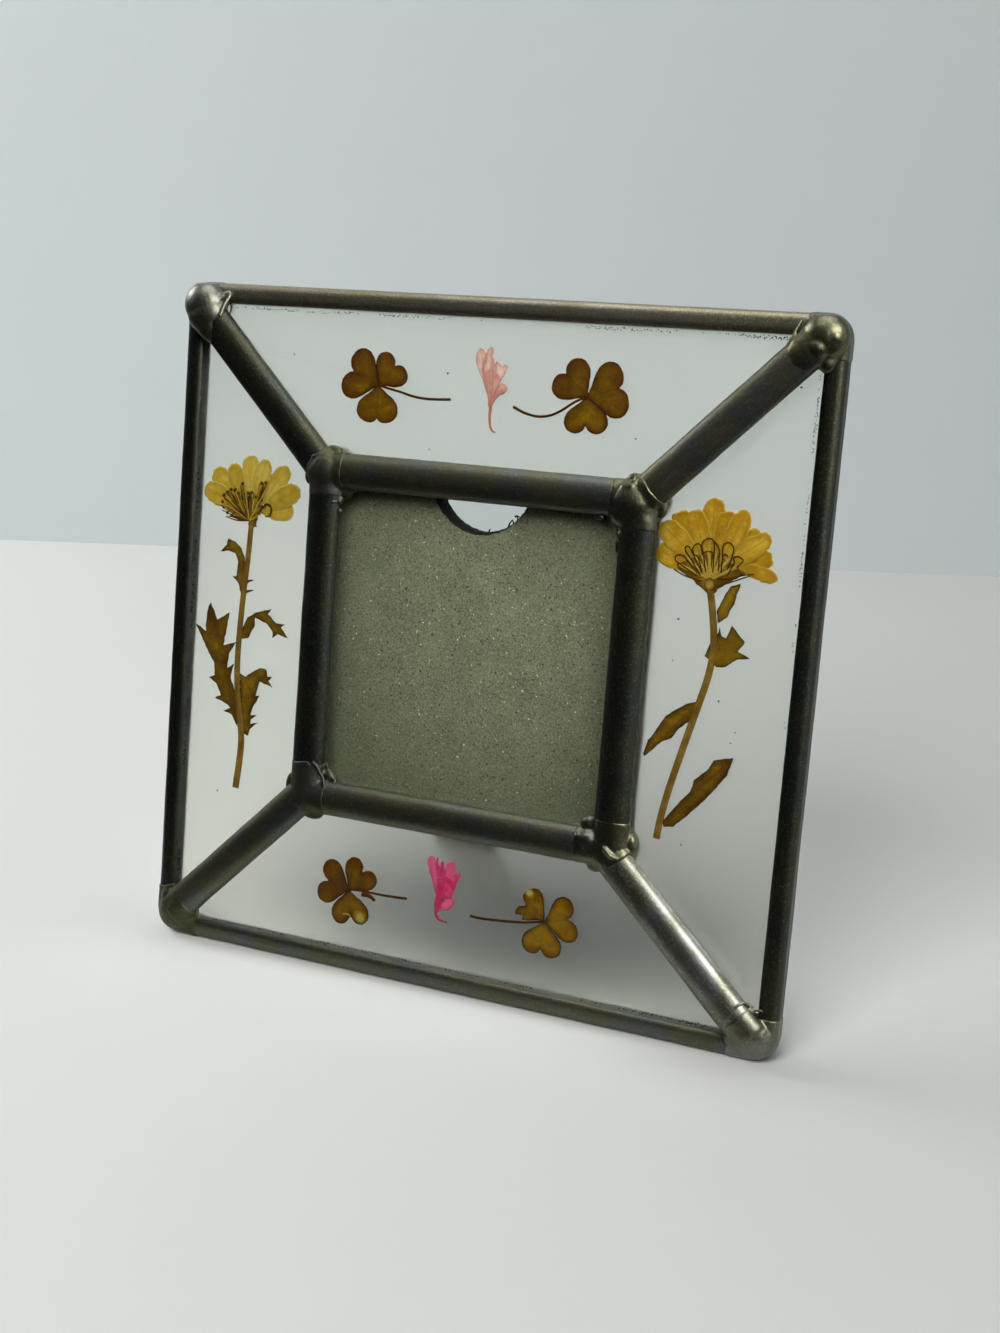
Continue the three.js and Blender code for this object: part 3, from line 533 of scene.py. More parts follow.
# ---- Tufts of dyed petals ----
# Two small tufts, each a few narrow petals still on their thin tube, dyed pink or deep pink and pressed.
# The dye has gathered in the veins and along the edges and faded at some tips.
TUFTS = {
    "petal_tuft_top": {
        "finish": dried(
            "pink_petal", pale=(188, 178, 166), body=(162, 130, 118), deep=(132, 78, 72),
            rim_colour=(144, 98, 100), veins=0.0,
        ),
        "slot": "pink_petal",
        "petals": [
            (0.8, [
                (-3.1, 64.4), (-3.8, 63.3), (-3.9, 61.6), (-3.4, 60.1), (-2.6, 58.8), (-1.9, 57.4),
                (-1.1, 55.8), (-0.5, 53.9), (0.1, 53.8), (-0.4, 56.7), (-1.4, 59.3), (-2.0, 60.3),
                (-1.7, 62.0), (-1.6, 63.3), (-2.4, 64.1),
            ]),
            (1.2, [
                (1.0, 62.0), (1.7, 61.3), (2.4, 60.7), (2.7, 61.2), (3.3, 61.3), (3.6, 60.8), (3.1, 59.6),
                (2.6, 58.5), (1.9, 56.8), (1.1, 56.8), (0.8, 59.4), (0.6, 61.1),
            ]),
            (0.6, [
                (-0.5, 64.8), (-1.3, 64.0), (-1.6, 63.0), (-2.0, 61.3), (-2.2, 59.7), (-1.7, 57.8),
                (-0.9, 55.8), (-0.4, 53.7), (0.4, 53.8), (0.4, 56.7), (0.5, 59.2), (0.6, 61.1), (0.3, 62.1),
                (-0.1, 62.8), (0.0, 63.6), (0.0, 64.3),
            ]),
            (0.4, [
                (2.6, 57.4), (3.3, 57.2), (3.9, 56.5), (3.8, 55.9), (3.2, 55.2), (2.3, 54.8), (1.4, 53.9),
                (0.9, 52.9), (0.5, 53.4), (0.8, 55.1), (1.5, 56.2), (2.1, 57.0),
            ]),
            (0.5, [
                (0.5, 60.0), (1.6, 59.3), (2.4, 57.8), (1.9, 56.5), (1.3, 55.4), (1.0, 53.8), (0.8, 52.6),
                (0.5, 51.6), (-0.2, 52.4), (-0.4, 54.0), (-1.1, 55.8), (-1.7, 57.4), (-1.7, 59.1),
                (-0.8, 59.9),
            ]),
        ],
        "tube": [(0.3, 53.0), (0.3, 51.7), (0.3, 50.0), (0.6, 48.3), (1.1, 47.4), (1.9, 47.1)],
        "folds": [
            [(0.4, 52.6), (-0.6, 56.0), (-1.5, 59.6)], [(0.5, 52.6), (0.0, 56.5), (-0.4, 60.5)],
            [(0.6, 52.8), (1.2, 55.6), (2.2, 57.7)], [(0.5, 52.6), (0.5, 56.5), (0.4, 59.8)],
            [(0.9, 53.4), (2.0, 54.8), (3.3, 55.8)],
        ],
    },
    "petal_tuft_bottom": {
        "finish": dried(
            "magenta_petal", pale=(190, 92, 132), body=(160, 44, 82), deep=(122, 20, 46),
            rim_colour=(146, 44, 84), veins=0.0, glow=0.3,
        ),
        "slot": "magenta_petal",
        "petals": [
            (0.9, [
                (-5.9, -45.6), (-6.5, -46.5), (-6.4, -47.7), (-6.0, -49.1), (-5.4, -50.0), (-5.0, -51.4),
                (-4.4, -52.8), (-4.0, -54.0), (-3.5, -56.0), (-2.9, -54.8), (-3.3, -52.2), (-3.6, -50.2),
                (-4.1, -48.0), (-4.7, -46.4), (-5.0, -45.8),
            ]),
            (0.6, [
                (-4.3, -45.6), (-4.5, -46.4), (-4.2, -48.0), (-3.6, -50.2), (-3.2, -53.0), (-3.2, -56.0),
                (-2.5, -53.6), (-2.8, -51.0), (-3.1, -49.2), (-3.5, -47.2), (-3.9, -46.5), (-3.9, -45.8),
            ]),
            (0.8, [
                (0.1, -45.9), (-0.7, -46.0), (-1.7, -46.5), (-2.0, -47.7), (-2.1, -49.4), (-1.7, -51.9),
                (-2.2, -55.4), (-0.7, -51.7), (0.2, -49.9), (0.5, -48.3), (0.2, -47.1),
            ]),
            (0.55, [
                (-2.7, -46.1), (-3.1, -46.5), (-3.4, -47.9), (-3.1, -50.1), (-2.5, -52.1), (-2.8, -55.1),
                (-1.7, -51.9), (-2.0, -48.2), (-2.3, -46.9), (-2.4, -46.2),
            ]),
            (0.7, [
                (1.7, -47.4), (1.3, -48.4), (0.5, -48.5), (0.3, -49.9), (-0.1, -51.6), (-1.2, -54.8),
                (0.1, -53.5), (0.8, -52.0), (1.4, -49.8), (1.8, -48.6),
            ]),
            (1.0, [
                (-2.0, -55.0), (-0.4, -54.6), (0.6, -54.1), (0.8, -55.0), (0.2, -56.1), (-0.6, -57.0),
                (-1.9, -57.1), (-2.7, -56.6),
            ]),
            (0.4, [
                (-3.8, -50.4), (-2.9, -49.9), (-1.7, -49.4), (0.2, -50.1), (0.7, -51.5), (0.4, -53.2),
                (0.1, -54.2), (-0.9, -54.5), (-2.0, -55.1), (-2.1, -56.5), (-2.8, -57.8), (-3.6, -57.8),
                (-4.0, -56.9), (-3.9, -55.0), (-3.6, -53.0),
            ]),
        ],
        "tube": [(-3.6, -56.8), (-3.6, -57.8), (-3.4, -58.6), (-2.7, -59.4), (-1.6, -59.7), (-0.7, -59.8)],
        "folds": [
            [(-3.4, -56.8), (-3.5, -53.6), (-3.2, -50.6)], [(-3.0, -56.0), (-2.2, -52.0), (-2.6, -47.6)],
            [(-2.4, -55.4), (-1.1, -51.6), (-0.2, -48.0)], [(-2.2, -55.0), (0.0, -52.4), (1.2, -49.2)],
            [(-1.1, -50.3), (-1.2, -51.1), (-0.9, -52.1)], [(-1.9, -56.9), (-0.8, -56.8), (0.1, -56.0)],
        ],
    },
}

for seed, (name, tuft) in enumerate(TUFTS.items()):
    root = tuft["tube"][0]
    parts = []
    for i, (tone, outline) in enumerate(tuft["petals"]):
        edge = rough_edge(outline, 0.12, 0.4, seed + 9)
        parts.append(pressed(edge, root, outline[0], -0.12 + 0.06 * i, 0.07, tone))
    parts += [strand(fold, 0.22, 0.1, 0.3, 0.4, tone=0.1, sides=6) for fold in tuft["folds"]]
    parts.append(strand(tuft["tube"], 0.75, 0.32, depth=0.6, tone=0.0))
    settle(joined(name + "_petals", parts), tuft["finish"], tuft["slot"], name)


# ---- Pressed daisies ----
# Two yellow daisies pressed from the side, each a stem with its leaves and a fan of petals over the calyx.
# The left one is paler, the right one a deeper yellow with its florets showing as small outlined loops.
DAISIES = {
    "daisy_left": {
        "stem": [
            (-56.2, 23.9), (-56.7, 13.9), (-57.4, 4.9), (-57.9, -7.1), (-57.5, -15.7), (-56.1, -23.6),
            (-55.7, -29.1), (-56.5, -38.4),
        ],
        "widths": (1.3, 1.7),
        "teeth": [[(-57.1, 8.7), (-56, 9.4), (-54.9, 9.7)], [(-57.2, 6.6), (-56, 7.1), (-54.8, 7.4)]],
        "petals": [
            (-57.4, 24.4, -57.4, 31.2, 7.4), (-61, 26.5, -69.2, 29.5, 4.4), (-61, 27.2, -66.8, 33.8, 4.6),
            (-59.2, 27.5, -62.1, 35.5, 3.8), (-57.2, 27.5, -57.4, 37.7, 4.4), (-55.2, 27.5, -53.4, 37, 3.9),
            (-54, 27, -47.7, 35.7, 4.2), (-53, 26.5, -44.3, 31, 4.4), (-54, 26, -45.7, 26.1, 4.6),
        ],
        "heart": (-56.8, 23.0),
        "calyx": [
            (-56.8, 21.6), (-57.4, 23.4), (-60.2, 24), (-63, 25.2), (-62.8, 26.6), (-60.8, 27.2),
            (-58.6, 27.4), (-56, 27.6), (-54, 26.6), (-53.4, 25.2), (-54.6, 24.2), (-54.9, 21.6),
        ],
        "leaf_tones": {"leaf_upper": 0.55, "leaf_middle": 0.5, "leaf_large": 0.4, "leaf_lower": 0.5},
        "leaves": {
            "leaf_upper": [
                (-57.9, 6.3), (-59, 8.7), (-60.5, 10.1), (-59.4, 10.1), (-59.2, 13.5), (-60.1, 15.4),
                (-61.9, 15.6), (-64, 15.3), (-62.5, 16.9), (-62.1, 18.5), (-60.2, 17.9), (-58.5, 16.5),
                (-57.5, 14.3), (-57, 9.9),
            ],
            "leaf_middle": [
                (-57.5, -2.7), (-55.9, 1.1), (-53.8, 2.5), (-49.6, 3.8), (-50.6, 2.5), (-48.2, 0.7),
                (-45.9, 0.6), (-47, -0.2), (-45, -2.3), (-47.9, -1.7), (-49, -2.8), (-49.2, -1.3),
                (-50.9, 0.4), (-54, 1.3), (-53.8, -0.6), (-55, -2.7), (-55.5, -3.5), (-57.5, -4.1),
            ],
            "leaf_large": [
                (-56.9, -24.3), (-58.6, -21.7), (-61, -21), (-59.1, -20.1), (-60.9, -19), (-63.5, -18.5),
                (-61.9, -17.5), (-63.2, -14.9), (-65.3, -13.9), (-63.8, -13.1), (-64, -10.6), (-66, -7.6),
                (-69.7, -1.8), (-66.8, -3.3), (-66.8, 1.2), (-65.8, 3.6), (-64.8, 1.5), (-63.8, -0.4),
                (-60.6, 1.8), (-61.2, -2.1), (-61.9, -6.1), (-58.6, -4.9), (-60.2, -7.6), (-60.6, -11.1),
                (-58.8, -9.9), (-59.5, -13.1), (-58.5, -15.3), (-57.5, -18.1),
            ],
            "leaf_lower": [
                (-55.6, -25.3), (-56.5, -18.7), (-57.1, -11.9), (-55.5, -12.5), (-53.8, -11.1),
                (-51.8, -10), (-50.2, -10.1), (-49.8, -11.6), (-48.5, -11.6), (-49.4, -12.6), (-48.4, -14),
                (-51.8, -13.1), (-52.5, -16.6), (-51.5, -16.3), (-52.9, -18.8), (-53.6, -20.9),
                (-52, -20.8), (-53.5, -22.1), (-53.5, -23.1), (-51.5, -22.5), (-53.6, -24.3), (-54, -26),
            ],
        },
    },
    "daisy_right": {
        "stem": [
            (51.3, 20.5), (52, 17.9), (53, 12.5), (53.5, 7.4), (52.9, 1.9), (51.6, -3.6), (49.2, -12.8),
            (46.9, -22.2), (45.7, -28.5), (45.2, -32.9),
        ],
        "widths": (1.5, 1.5),
        "petals": [
            (51.2, 22.6, 51.2, 31.4, 8.0), (48, 24, 39.5, 26.4, 4.5), (48, 25.5, 40.1, 31.8, 4.7),
            (49, 26, 43.1, 34.4, 4.4), (50, 26, 46.6, 35.1, 4.2), (51, 26, 50.8, 38, 4.6),
            (53, 26, 54, 35.6, 4.2), (53.6, 25.5, 57.6, 36, 4), (54, 25, 60.6, 32.2, 3.8),
            (54, 24.5, 63, 31.4, 4), (54, 23.8, 63.8, 27.4, 4.1), (57, 25, 65.2, 22.9, 2.7),
        ],
        "heart": (51.5, 21.5),
        "calyx": [
            (51.6, 18.3), (48.6, 20.6), (44.8, 22.6), (44.2, 24), (46.6, 25.2), (49.4, 26.2), (51.6, 26.6),
            (54, 26), (56.6, 24.6), (58.6, 23.4), (56.4, 22), (53.6, 20),
        ],
        "leaf_tones": {"leaf_upper": 0.95, "leaf_star": 0.6, "leaf_left": 0.5, "leaf_lower": 0.34},
        "leaves": {
            "leaf_upper": [
                (53.9, 13), (53.4, 15.1), (54.8, 19), (55.9, 20.7), (57.8, 21.3), (56.8, 17.2),
                (55.6, 14.3),
            ],
            "leaf_star": [
                (53.5, 5.1), (51.8, 6), (52.5, 8.4), (54, 10.7), (54.5, 12.2), (54.9, 10.4), (55.9, 10.1),
                (56.8, 12.9), (58.3, 11.3), (59.9, 9.8), (58.6, 7.8), (61.2, 6.6), (58.3, 6.1), (56.5, 4.5),
                (54.5, 4),
            ],
            "leaf_left": [
                (51.6, -3.1), (48.9, -4.2), (46.5, -5.9), (44.7, -7.4), (43.3, -9.9), (41.5, -12.8),
                (40.7, -15.5), (41, -16.4), (44.2, -12.8), (46.4, -11.7), (47.1, -10.5), (49.2, -8.1),
                (50.7, -7.1),
            ],
            "leaf_lower": [
                (46.1, -29.1), (48, -26.5), (49.5, -24.4), (51.5, -22), (52.1, -19.5), (54.5, -17.1),
                (55.9, -14.8), (59.9, -13.7), (58.8, -17.5), (56.5, -21), (53.6, -24.6), (50.3, -28.1),
                (48.6, -29.9), (46.5, -30.1),
            ],
        },
    },
}

petal_finishes = {
    "daisy_left": dried(
        "pale_daisy_petal", pale=(158, 144, 70), body=(138, 118, 38), deep=(116, 92, 20),
        rim_colour=(134, 126, 62), veins=0.0, glow=0.5,
    ),
    "daisy_right": dried(
        "deep_daisy_petal", pale=(160, 138, 46), body=(136, 106, 20), deep=(108, 76, 9),
        rim_colour=(136, 110, 30), veins=0.0, glow=0.5,
    ),
}
leaf_finish = dried(
    "daisy_leaf", pale=(106, 82, 12), body=(76, 54, 4), deep=(42, 24, 3), rim_colour=(40, 28, 6), veins=6.0,
    spots=0.85, glow=0.1,
)
stem_finish = dried(
    "daisy_stem", pale=(118, 96, 40), body=(88, 66, 20), deep=(58, 38, 12), rim_colour=(58, 38, 12),
    veins=0.0, glow=0.1,
)
calyx_finish = dried(
    "daisy_calyx", pale=(144, 120, 44), body=(92, 68, 8), deep=(42, 23, 3), rim_colour=(64, 43, 6),
    veins=0.0, glow=0.1,
)


def petal_outline(base_x, base_y, tip_x, tip_y, width):
    """A round-ended petal from its base to its tip."""
    length = math.hypot(tip_x - base_x, tip_y - base_y)
    half = width * 0.59
    knots = [(0, -half * 0.35)]
    knots += [(length * 0.3, -half * 0.9), (length * 0.6, -half * 1.15), (length * 0.86, -half * 0.78)]
    knots += [(length * 1.04, -half * 0.5), (length * 1.04, half * 0.5), (length * 0.86, half * 0.78)]
    knots += [(length * 0.6, half * 1.15), (length * 0.3, half * 0.9), (0, half * 0.35)]
    turn = math.degrees(math.atan2(tip_y - base_y, tip_x - base_x))
    return turned(curve_through(knots), turn, base_x, base_y)


# The calyx of the left daisy is a brush of dry bracts, one of them curled; on the right, florets stand as
# loops round a pale button.
LEFT_BRACTS = [
    (-63.7, 25.4), (-64.1, 26.6), (-63.8, 28.2), (-62.9, 28.9), (-62.0, 29.5), (-60.9, 29.6), (-60.1, 28.8),
    (-59.1, 31.1), (-58.4, 28.6), (-57.5, 29.2), (-56.6, 29.3), (-55.3, 28.4), (-54.1, 31.6), (-53.0, 31.8),
    (-62.6, 24.2), (-61.2, 23.9), (-53.6, 26.4), (-54.3, 28.4),
]
BRACT_END = [(0.45, 0.1), (0.1, 0.4), (-0.4, 0.2), (-0.3, -0.35), (0.25, -0.4)]
LEFT_CURL = [
    (-54.6, 24.6), (-53.6, 25.9), (-52.6, 27.0), (-51.5, 26.7), (-51.2, 25.6), (-51.7, 24.5), (-52.7, 24.3),
]
RIGHT_LOOPS = [
    [(48.6, 22.0), (45.5, 23.7), (43.9, 24.6), (44.0, 25.6), (45.3, 25.8), (46.4, 24.9), (48.8, 22.4)],
    [(49.4, 22.1), (47.2, 25.1), (45.9, 26.6), (45.7, 27.4), (46.3, 27.7), (47.1, 26.8), (49.6, 22.8)],
    [(49.7, 22.7), (48.6, 25.6), (47.6, 26.3), (47.3, 27.4), (47.9, 28.3), (48.8, 28.2), (49.4, 26.2)],
    [
        (50.4, 23), (49.6, 26.5), (49.1, 28.2), (49.6, 29.3), (50.6, 29.7), (51.5, 29.2), (51.8, 27),
        (51.9, 23),
    ],
    [(51.6, 29.2), (52.5, 28.3), (52.9, 26.8), (53.0, 23.4)],
    [
        (53.6, 23.1), (53.6, 26.1), (53.5, 28.2), (54.0, 29.1), (54.9, 29.2), (55.7, 28.3), (55.6, 26.7),
        (54.8, 23.9),
    ],
    [(54.9, 22.7), (56.1, 25.3), (55.9, 26.3), (56.8, 26.7), (57.9, 26.1), (57.4, 25.3), (56.8, 24.6)],
    [(49.5, 26.7), (50.5, 27.1), (51.6, 27.0)],
    [(53.6, 26.5), (54.2, 26.9), (54.8, 26.4)],
    [(43.6, 22.9), (45.0, 22.2), (46.6, 21.6), (49.7, 21.0)],
    [(53.0, 21.8), (55.9, 22.2), (57.9, 23.0), (60.4, 23.6)],
    [(53.0, 20.3), (56.1, 21.6), (57.9, 22.4), (59.5, 23.1)],
]


def between(a, b, share):
    """The point at this share of the way from a to b."""
    return (a[0] + (b[0] - a[0]) * share, a[1] + (b[1] - a[1]) * share)


def left_calyx(root):
    """Thin bracts in threes from the root, each three with a dark end, and a curled one."""
    draw = random.Random(3)
    parts = []
    for tip in LEFT_BRACTS:
        for spread in (-0.5, 0.1, 0.6):
            end = (tip[0] + spread, tip[1] + draw.uniform(-0.9, 0.0))
            middle = between(root, end, 0.5)
            middle = (middle[0] + draw.uniform(-0.3, 0.3), middle[1] + draw.uniform(-0.5, 0.1))
            low, tone = draw.uniform(0.12, 0.22), draw.choice([0.0, 0.2, 0.5, 0.9])
            parts.append(strand([root, middle, end], 0.5, 0.22, low, 0.5, tone, sides=6))
        dark_end = turned(BRACT_END, draw.uniform(0, 90), *tip)
        parts.append(pressed(dark_end, tip, root, 0.2, 0.1, 0.1))
    parts.append(strand(LEFT_CURL, 0.55, 0.35, 0.2, 0.6, tone=0.0, sides=8))
    return parts


def right_calyx(root):
    """Outlined florets, a fan of pale ones between them and the button at the root."""
    parts = [strand(loop, 0.3, 0.26, 0.24, 0.6, tone=0.0, sides=8) for loop in RIGHT_LOOPS]
    for tip_x in (44.7, 46.2, 47.6, 49.0, 50.6, 52.2, 53.6, 55.0, 56.6):
        tip = (tip_x, 27.4 - 0.09 * (tip_x - 51) ** 2)
        parts.append(strand([root, between(root, tip, 0.55), tip], 0.45, 0.75, 0.16, 0.3, tone=0.9, sides=8))
    turns = numpy.linspace(0, 6, 20)
    button = [(root[0] + 1.15 * math.cos(t), root[1] - 0.9 + 1.3 * math.sin(t)) for t in turns]
    parts.append(pressed(button, root, (root[0], root[1] + 2), height=0.28, thickness=0.14, tone=1.3))
    return parts


calyx_details = {"daisy_left": left_calyx, "daisy_right": right_calyx}

for name, daisy in DAISIES.items():
    draw = random.Random(len(name))
    parts = [strand(daisy["stem"], *daisy["widths"], depth=0.4, tone=0.5, sides=14)]
    parts += [strand(tooth, 0.9, 0.2, depth=0.4, tone=0.2, sides=8) for tooth in daisy.get("teeth", [])]
    settle(joined(name + "_stalk", parts), stem_finish, "daisy_stem", name + "_stem")

    parts = []
    for i, petal in enumerate(daisy["petals"]):
        outline = rough_edge(petal_outline(*petal), 0.34, 0.36, i)
        level = 5 * i % len(daisy["petals"])  # a level for each, with neighbours well apart
        height = -0.3 + 0.03 * level
        tone = draw.uniform(0.3, 0.7)
        parts.append(pressed(outline, petal[:2], petal[2:4], height, thickness=0.09, tone=tone))
    settle(joined(name + "_fan", parts), petal_finishes[name], "daisy_petal", name + "_petals")

    root = daisy["heart"]
    cup = pressed(rough_edge(daisy["calyx"], 0.35), root, (root[0], root[1] + 8), 0.1, 0.1, tone=0.5)
    bracts = joined(name + "_bracts", [cup, *calyx_details[name](root)])
    settle(bracts, calyx_finish, "daisy_calyx", name + "_calyx")

    for leaf, outline in daisy["leaves"].items():
        base = outline[0]
        tip = max(outline, key=lambda p: math.dist(p, base))
        blade = pressed(rough_edge(outline, 0.2, 0.4), base, tip, 0.0, 0.2, tone=daisy["leaf_tones"][leaf])
        settle(joined(f"{name}_{leaf}_blade", [blade]), leaf_finish, "daisy_leaf", f"{name}_{leaf}")


# ---- Clear front panes ----
# Thin clear glass, cut to the same trapezium and laid over the pressed plants. It is plain window glass with
# a faint green edge and a few smears left from cleaning.
clear = Finish("clear_glass", {"Base Color": colour(250, 253, 251), **GLASS})
clear.varies("Roughness", 0.03 * clear.step(clear.noise(14, detail=4), 0.45, 0.7))
for pane in [f"front_glass_{side}" for side in SIDES] + ["picture_glass"]:
    clear.put_on(nodes[pane])
    nodes[pane].visible_shadow = False


# ---- Lead cames ----
# Lead came, a strip drawn with a slot for the glass, holds the panels. Round came with one slot runs along
# the four outer sides. Wider came with two slots runs round the picture opening and from its corners to the
# outer corners. It was cut to length, pressed on by hand and rubbed dark.
FRAME_HALF = 75
SLOT_HALF = 2.1
EDGE_CAME = {"half": 2.45, "crown": 2.75, "web": 1.6, "fullness": 2.8}
BAR_HALF = 3.85
BAR_HEART = 0.8
FRONT_BEAD = (3.3, 5.6)  # heights of a bar came's widest line and of its ridge
BACK_BEAD = (2.6, 4.4)
OPENING_BACK_HALF = 3.3
DIAGONAL_BACK_HALF = 1.5
OPENING_HALF = 36.2
EDGE_LINE = FRAME_HALF - EDGE_CAME["half"]
EDGE_STEPS = 44
BEAD_STEPS = 30
RINGS_EACH_MM = 0.7
WAVE_LENGTH = 13
DENT_SIZE = 2.4
RIM_END = 5  # how far the rim's cames stop short of the frame's corners
DIAGONAL_END = 5.5


def lead_finish(name, dark, olive, worn, roughness, rub=0.3, sparkle=0.0):
    """Old lead: dark with an olive bloom, finely scratched along its length and rubbed bright in places."""
    dark, olive, worn = [colour(*shade) for shade in (dark, olive, worn)]
    finish = Finish(name, {"Metallic": 1.0})
    drawn = finish.attribute("drawn", "Vector")
    scratches = finish.noise(0.22, detail=4, at=drawn, stretch=(0.05, 1, 1))
    patches = finish.noise(11, detail=3)
    fine = finish.noise(0.5, detail=5)
    base = finish.blend(finish.step(patches, 0.37, 0.58), dark, olive)
    rubbed = finish.step(0.35 * scratches + 0.65 * fine, 0.5, 0.66)
    base = finish.blend(rub * rubbed, base, worn)
    specks = finish.step(finish.noise(0.34, detail=1), 0.71, 0.77)
    base = finish.blend(0.8 * specks, base, worn)
    if sparkle:
        glints = finish.step(finish.noise(0.26, detail=2), 0.56, 0.66)
        base = finish.blend(sparkle * glints, base, colour(232, 214, 196))
    finish.varies("Base Color", base)
    finish.varies("Roughness", roughness + 0.14 * (fine - 0.5) + 0.12 * (patches - 0.5))
    finish.relief(0.5 * scratches + 0.5 * fine, 0.045)
    return finish


# Painted shade: a darker copy of the lead for the upright cames and the top left diagonal, which mirror the
# unlit room.
shaded_black_lead = lead_finish("shaded_black_lead", (60, 65, 62), (66, 67, 53), (122, 126, 120), 0.42)
grey_lead = lead_finish("grey_lead", (90, 94, 91), (94, 94, 76), (146, 146, 138), 0.45)
# Painted light: a lighter copy of the lead for the top rim, as lit from overhead, with a warmer tint of its
# own.
lit_taupe_lead = lead_finish("lit_taupe_lead", (142, 136, 122), (128, 124, 102), (190, 178, 160), 0.44, sparkle=0.4)
# Partly painted highlight: a brighter, tinned copy of the lead, whose light base strengthens the bottom
# right diagonal's highlight.
tinned_highlit_lead = lead_finish("tinned_highlit_lead", (130, 133, 129), (106, 106, 90), (192, 194, 190), 0.42, rub=0.42)


def steps_between(start, stop, steps):
    return [start + (stop - start) * i / steps for i in range(steps + 1)]


def edge_section(grow=0.0):
    """Outline of the rim's came: x to the picture, y to the front. Solder round it is thicker by grow."""
    half, crown, web, fullness = EDGE_CAME.values()

    def full(value, size):
        return (size + grow) * math.copysign(abs(value) ** (2 / fullness), value)

    start = math.asin((SLOT_HALF / (crown + grow)) ** (fullness / 2))
    around = steps_between(start, 2 * math.pi - start, EDGE_STEPS)
    curve = [(full(math.cos(t), half), full(math.sin(t), crown)) for t in around]
    return [*curve, (web - half, -SLOT_HALF), (web - half, SLOT_HALF)]


def bead(side, lip, crown, half=BAR_HALF):
    """One bead of a wide came, from its right underside over its ridge to its left underside."""
    start = -math.asin((lip - SLOT_HALF) / (crown - lip))
    turns = steps_between(start, math.pi - start, BEAD_STEPS)
    return [(half * math.cos(t), side * (lip + (crown - lip) * math.sin(t))) for t in turns]


def bar_section(back_half, opening=False):
    """Outline of the wide came. The one round the opening has its back cut away on the picture's side."""
    section = [*bead(1, *FRONT_BEAD), (-BAR_HEART, SLOT_HALF), (-BAR_HEART, -SLOT_HALF)]
    back = bead(-1, *BACK_BEAD, back_half)
    if opening:
        kept_half = back[: BEAD_STEPS // 2 - 1 : -1]
        return [*section, *kept_half, (BAR_HEART, -BACK_BEAD[1]), (BAR_HEART, SLOT_HALF)]
    return [*section, *back[::-1], (BAR_HEART, -SLOT_HALF), (BAR_HEART, SLOT_HALF)]


def scratched(piece, place):
    """Keeps where the scratches are read for each point, in an attribute. They run along its first value."""
    drawn = piece.data.attributes.new("drawn", "FLOAT_VECTOR", "POINT")
    drawn.data.foreach_set("vector", [c for v in piece.data.vertices for c in place(*v.co)])


def came(section, start, end):
    """A strip of came: its section, drawn as a ring, pulled between two points of the frame's plane."""
    start, end = Vector((*start, 0)) * MM, Vector((*end, 0)) * MM
    length = (end - start).length
    bpy.ops.object.select_all(action="DESELECT")
    bpy.ops.mesh.primitive_circle_add(vertices=len(section), radius=MM, fill_type="NGON")
    strip = bpy.context.active_object
    for corner, (across, up) in zip(strip.data.vertices, section):
        corner.co = (0, across * MM, up * MM)
    bpy.ops.object.mode_set(mode="EDIT")
    bpy.ops.mesh.select_all(action="SELECT")
    bpy.ops.mesh.extrude_region_move(TRANSFORM_OT_translate={"value": (length, 0, 0)})
    bpy.ops.mesh.select_all(action="SELECT")
    bpy.ops.mesh.normals_make_consistent(inside=False)
    bpy.ops.object.mode_set(mode="OBJECT")
    points = strip.data.vertices
    long_ways = [
        e.index for e in strip.data.edges
        if abs(points[e.vertices[0]].co.x - points[e.vertices[1]].co.x) > length / 2
    ]
    subdivide_edges(strip, long_ways, max(1, round(length / MM * RINGS_EACH_MM)))
    scratched(strip, lambda x, y, z: (x, y, z))
    way = (end - start).normalized()
    strip.data.transform(Matrix.Translation(start) @ Matrix.Rotation(math.atan2(way.y, way.x), 4, "Z"))
    return strip


def dented(piece, waves, dents):
    """Gives metal the slow waves and small dents of handwork, by these depths in millimetres."""
    for size, depth in ((WAVE_LENGTH, waves), (DENT_SIZE, dents)):
        clouds = bpy.data.textures.new("handwork", "CLOUDS")
        clouds.noise_scale = size * MM
        clouds.noise_depth = 2
        changed(
            piece, "DISPLACE", texture=clouds, texture_coords="LOCAL", mid_level=0.45, strength=depth * MM
        )


def kept_in(piece, spare):
    """Rubs metal flat where it would come within spare of the frame's sides and front or of the table."""
    upright = LEANING.inverted()
    for vertex in piece.data.vertices:
        place = LEANING @ vertex.co
        limits = zip(place, *cad_box)
        held = Vector([min(max(c, low + spare * MM), high - spare * MM) for c, low, high in limits])
        if held != place:
            vertex.co = upright @ held


def finished_lead(piece, name, finish, slot, stands_for, waves=0.22, dents=0.07, spare=0.06):
    """Last steps for came and solder. The spare keeps the faces of the came out of those of the solder."""
    dented(piece, waves, dents)
    kept_in(piece, spare)
    smoothed(piece, 50)
    piece.name = piece.data.name = name
    settle(piece, finish, slot, stands_for)


def quarter(point, k):
    """A point of the bottom side, turned k quarter turns anticlockwise about the frame's middle."""
    x, y = point
    for _ in range(k):
        x, y = -y, x
    return x, y


# The lead copies paint light and shade: the upright rims and opening cames are darker, and the top rim is
# lighter, as lit from overhead.
rim_leads = [grey_lead, shaded_black_lead, lit_taupe_lead, shaded_black_lead]
opening_leads = [grey_lead, shaded_black_lead, grey_lead, shaded_black_lead]
for k, side in enumerate(SIDES):
    reach = FRAME_HALF - RIM_END
    rim = came(edge_section(), quarter((-reach, -EDGE_LINE), k), quarter((reach, -EDGE_LINE), k))
    finished_lead(rim, f"rim_lead_{side}", rim_leads[k], "lead", f"edge_came_{side}")
    inner = OPENING_HALF
    section = bar_section(OPENING_BACK_HALF, opening=True)
    bar = came(section, quarter((-inner, -inner), k), quarter((inner, -inner), k))
    finished_lead(bar, f"opening_lead_{side}", opening_leads[k], "lead", f"opening_came_{side}")

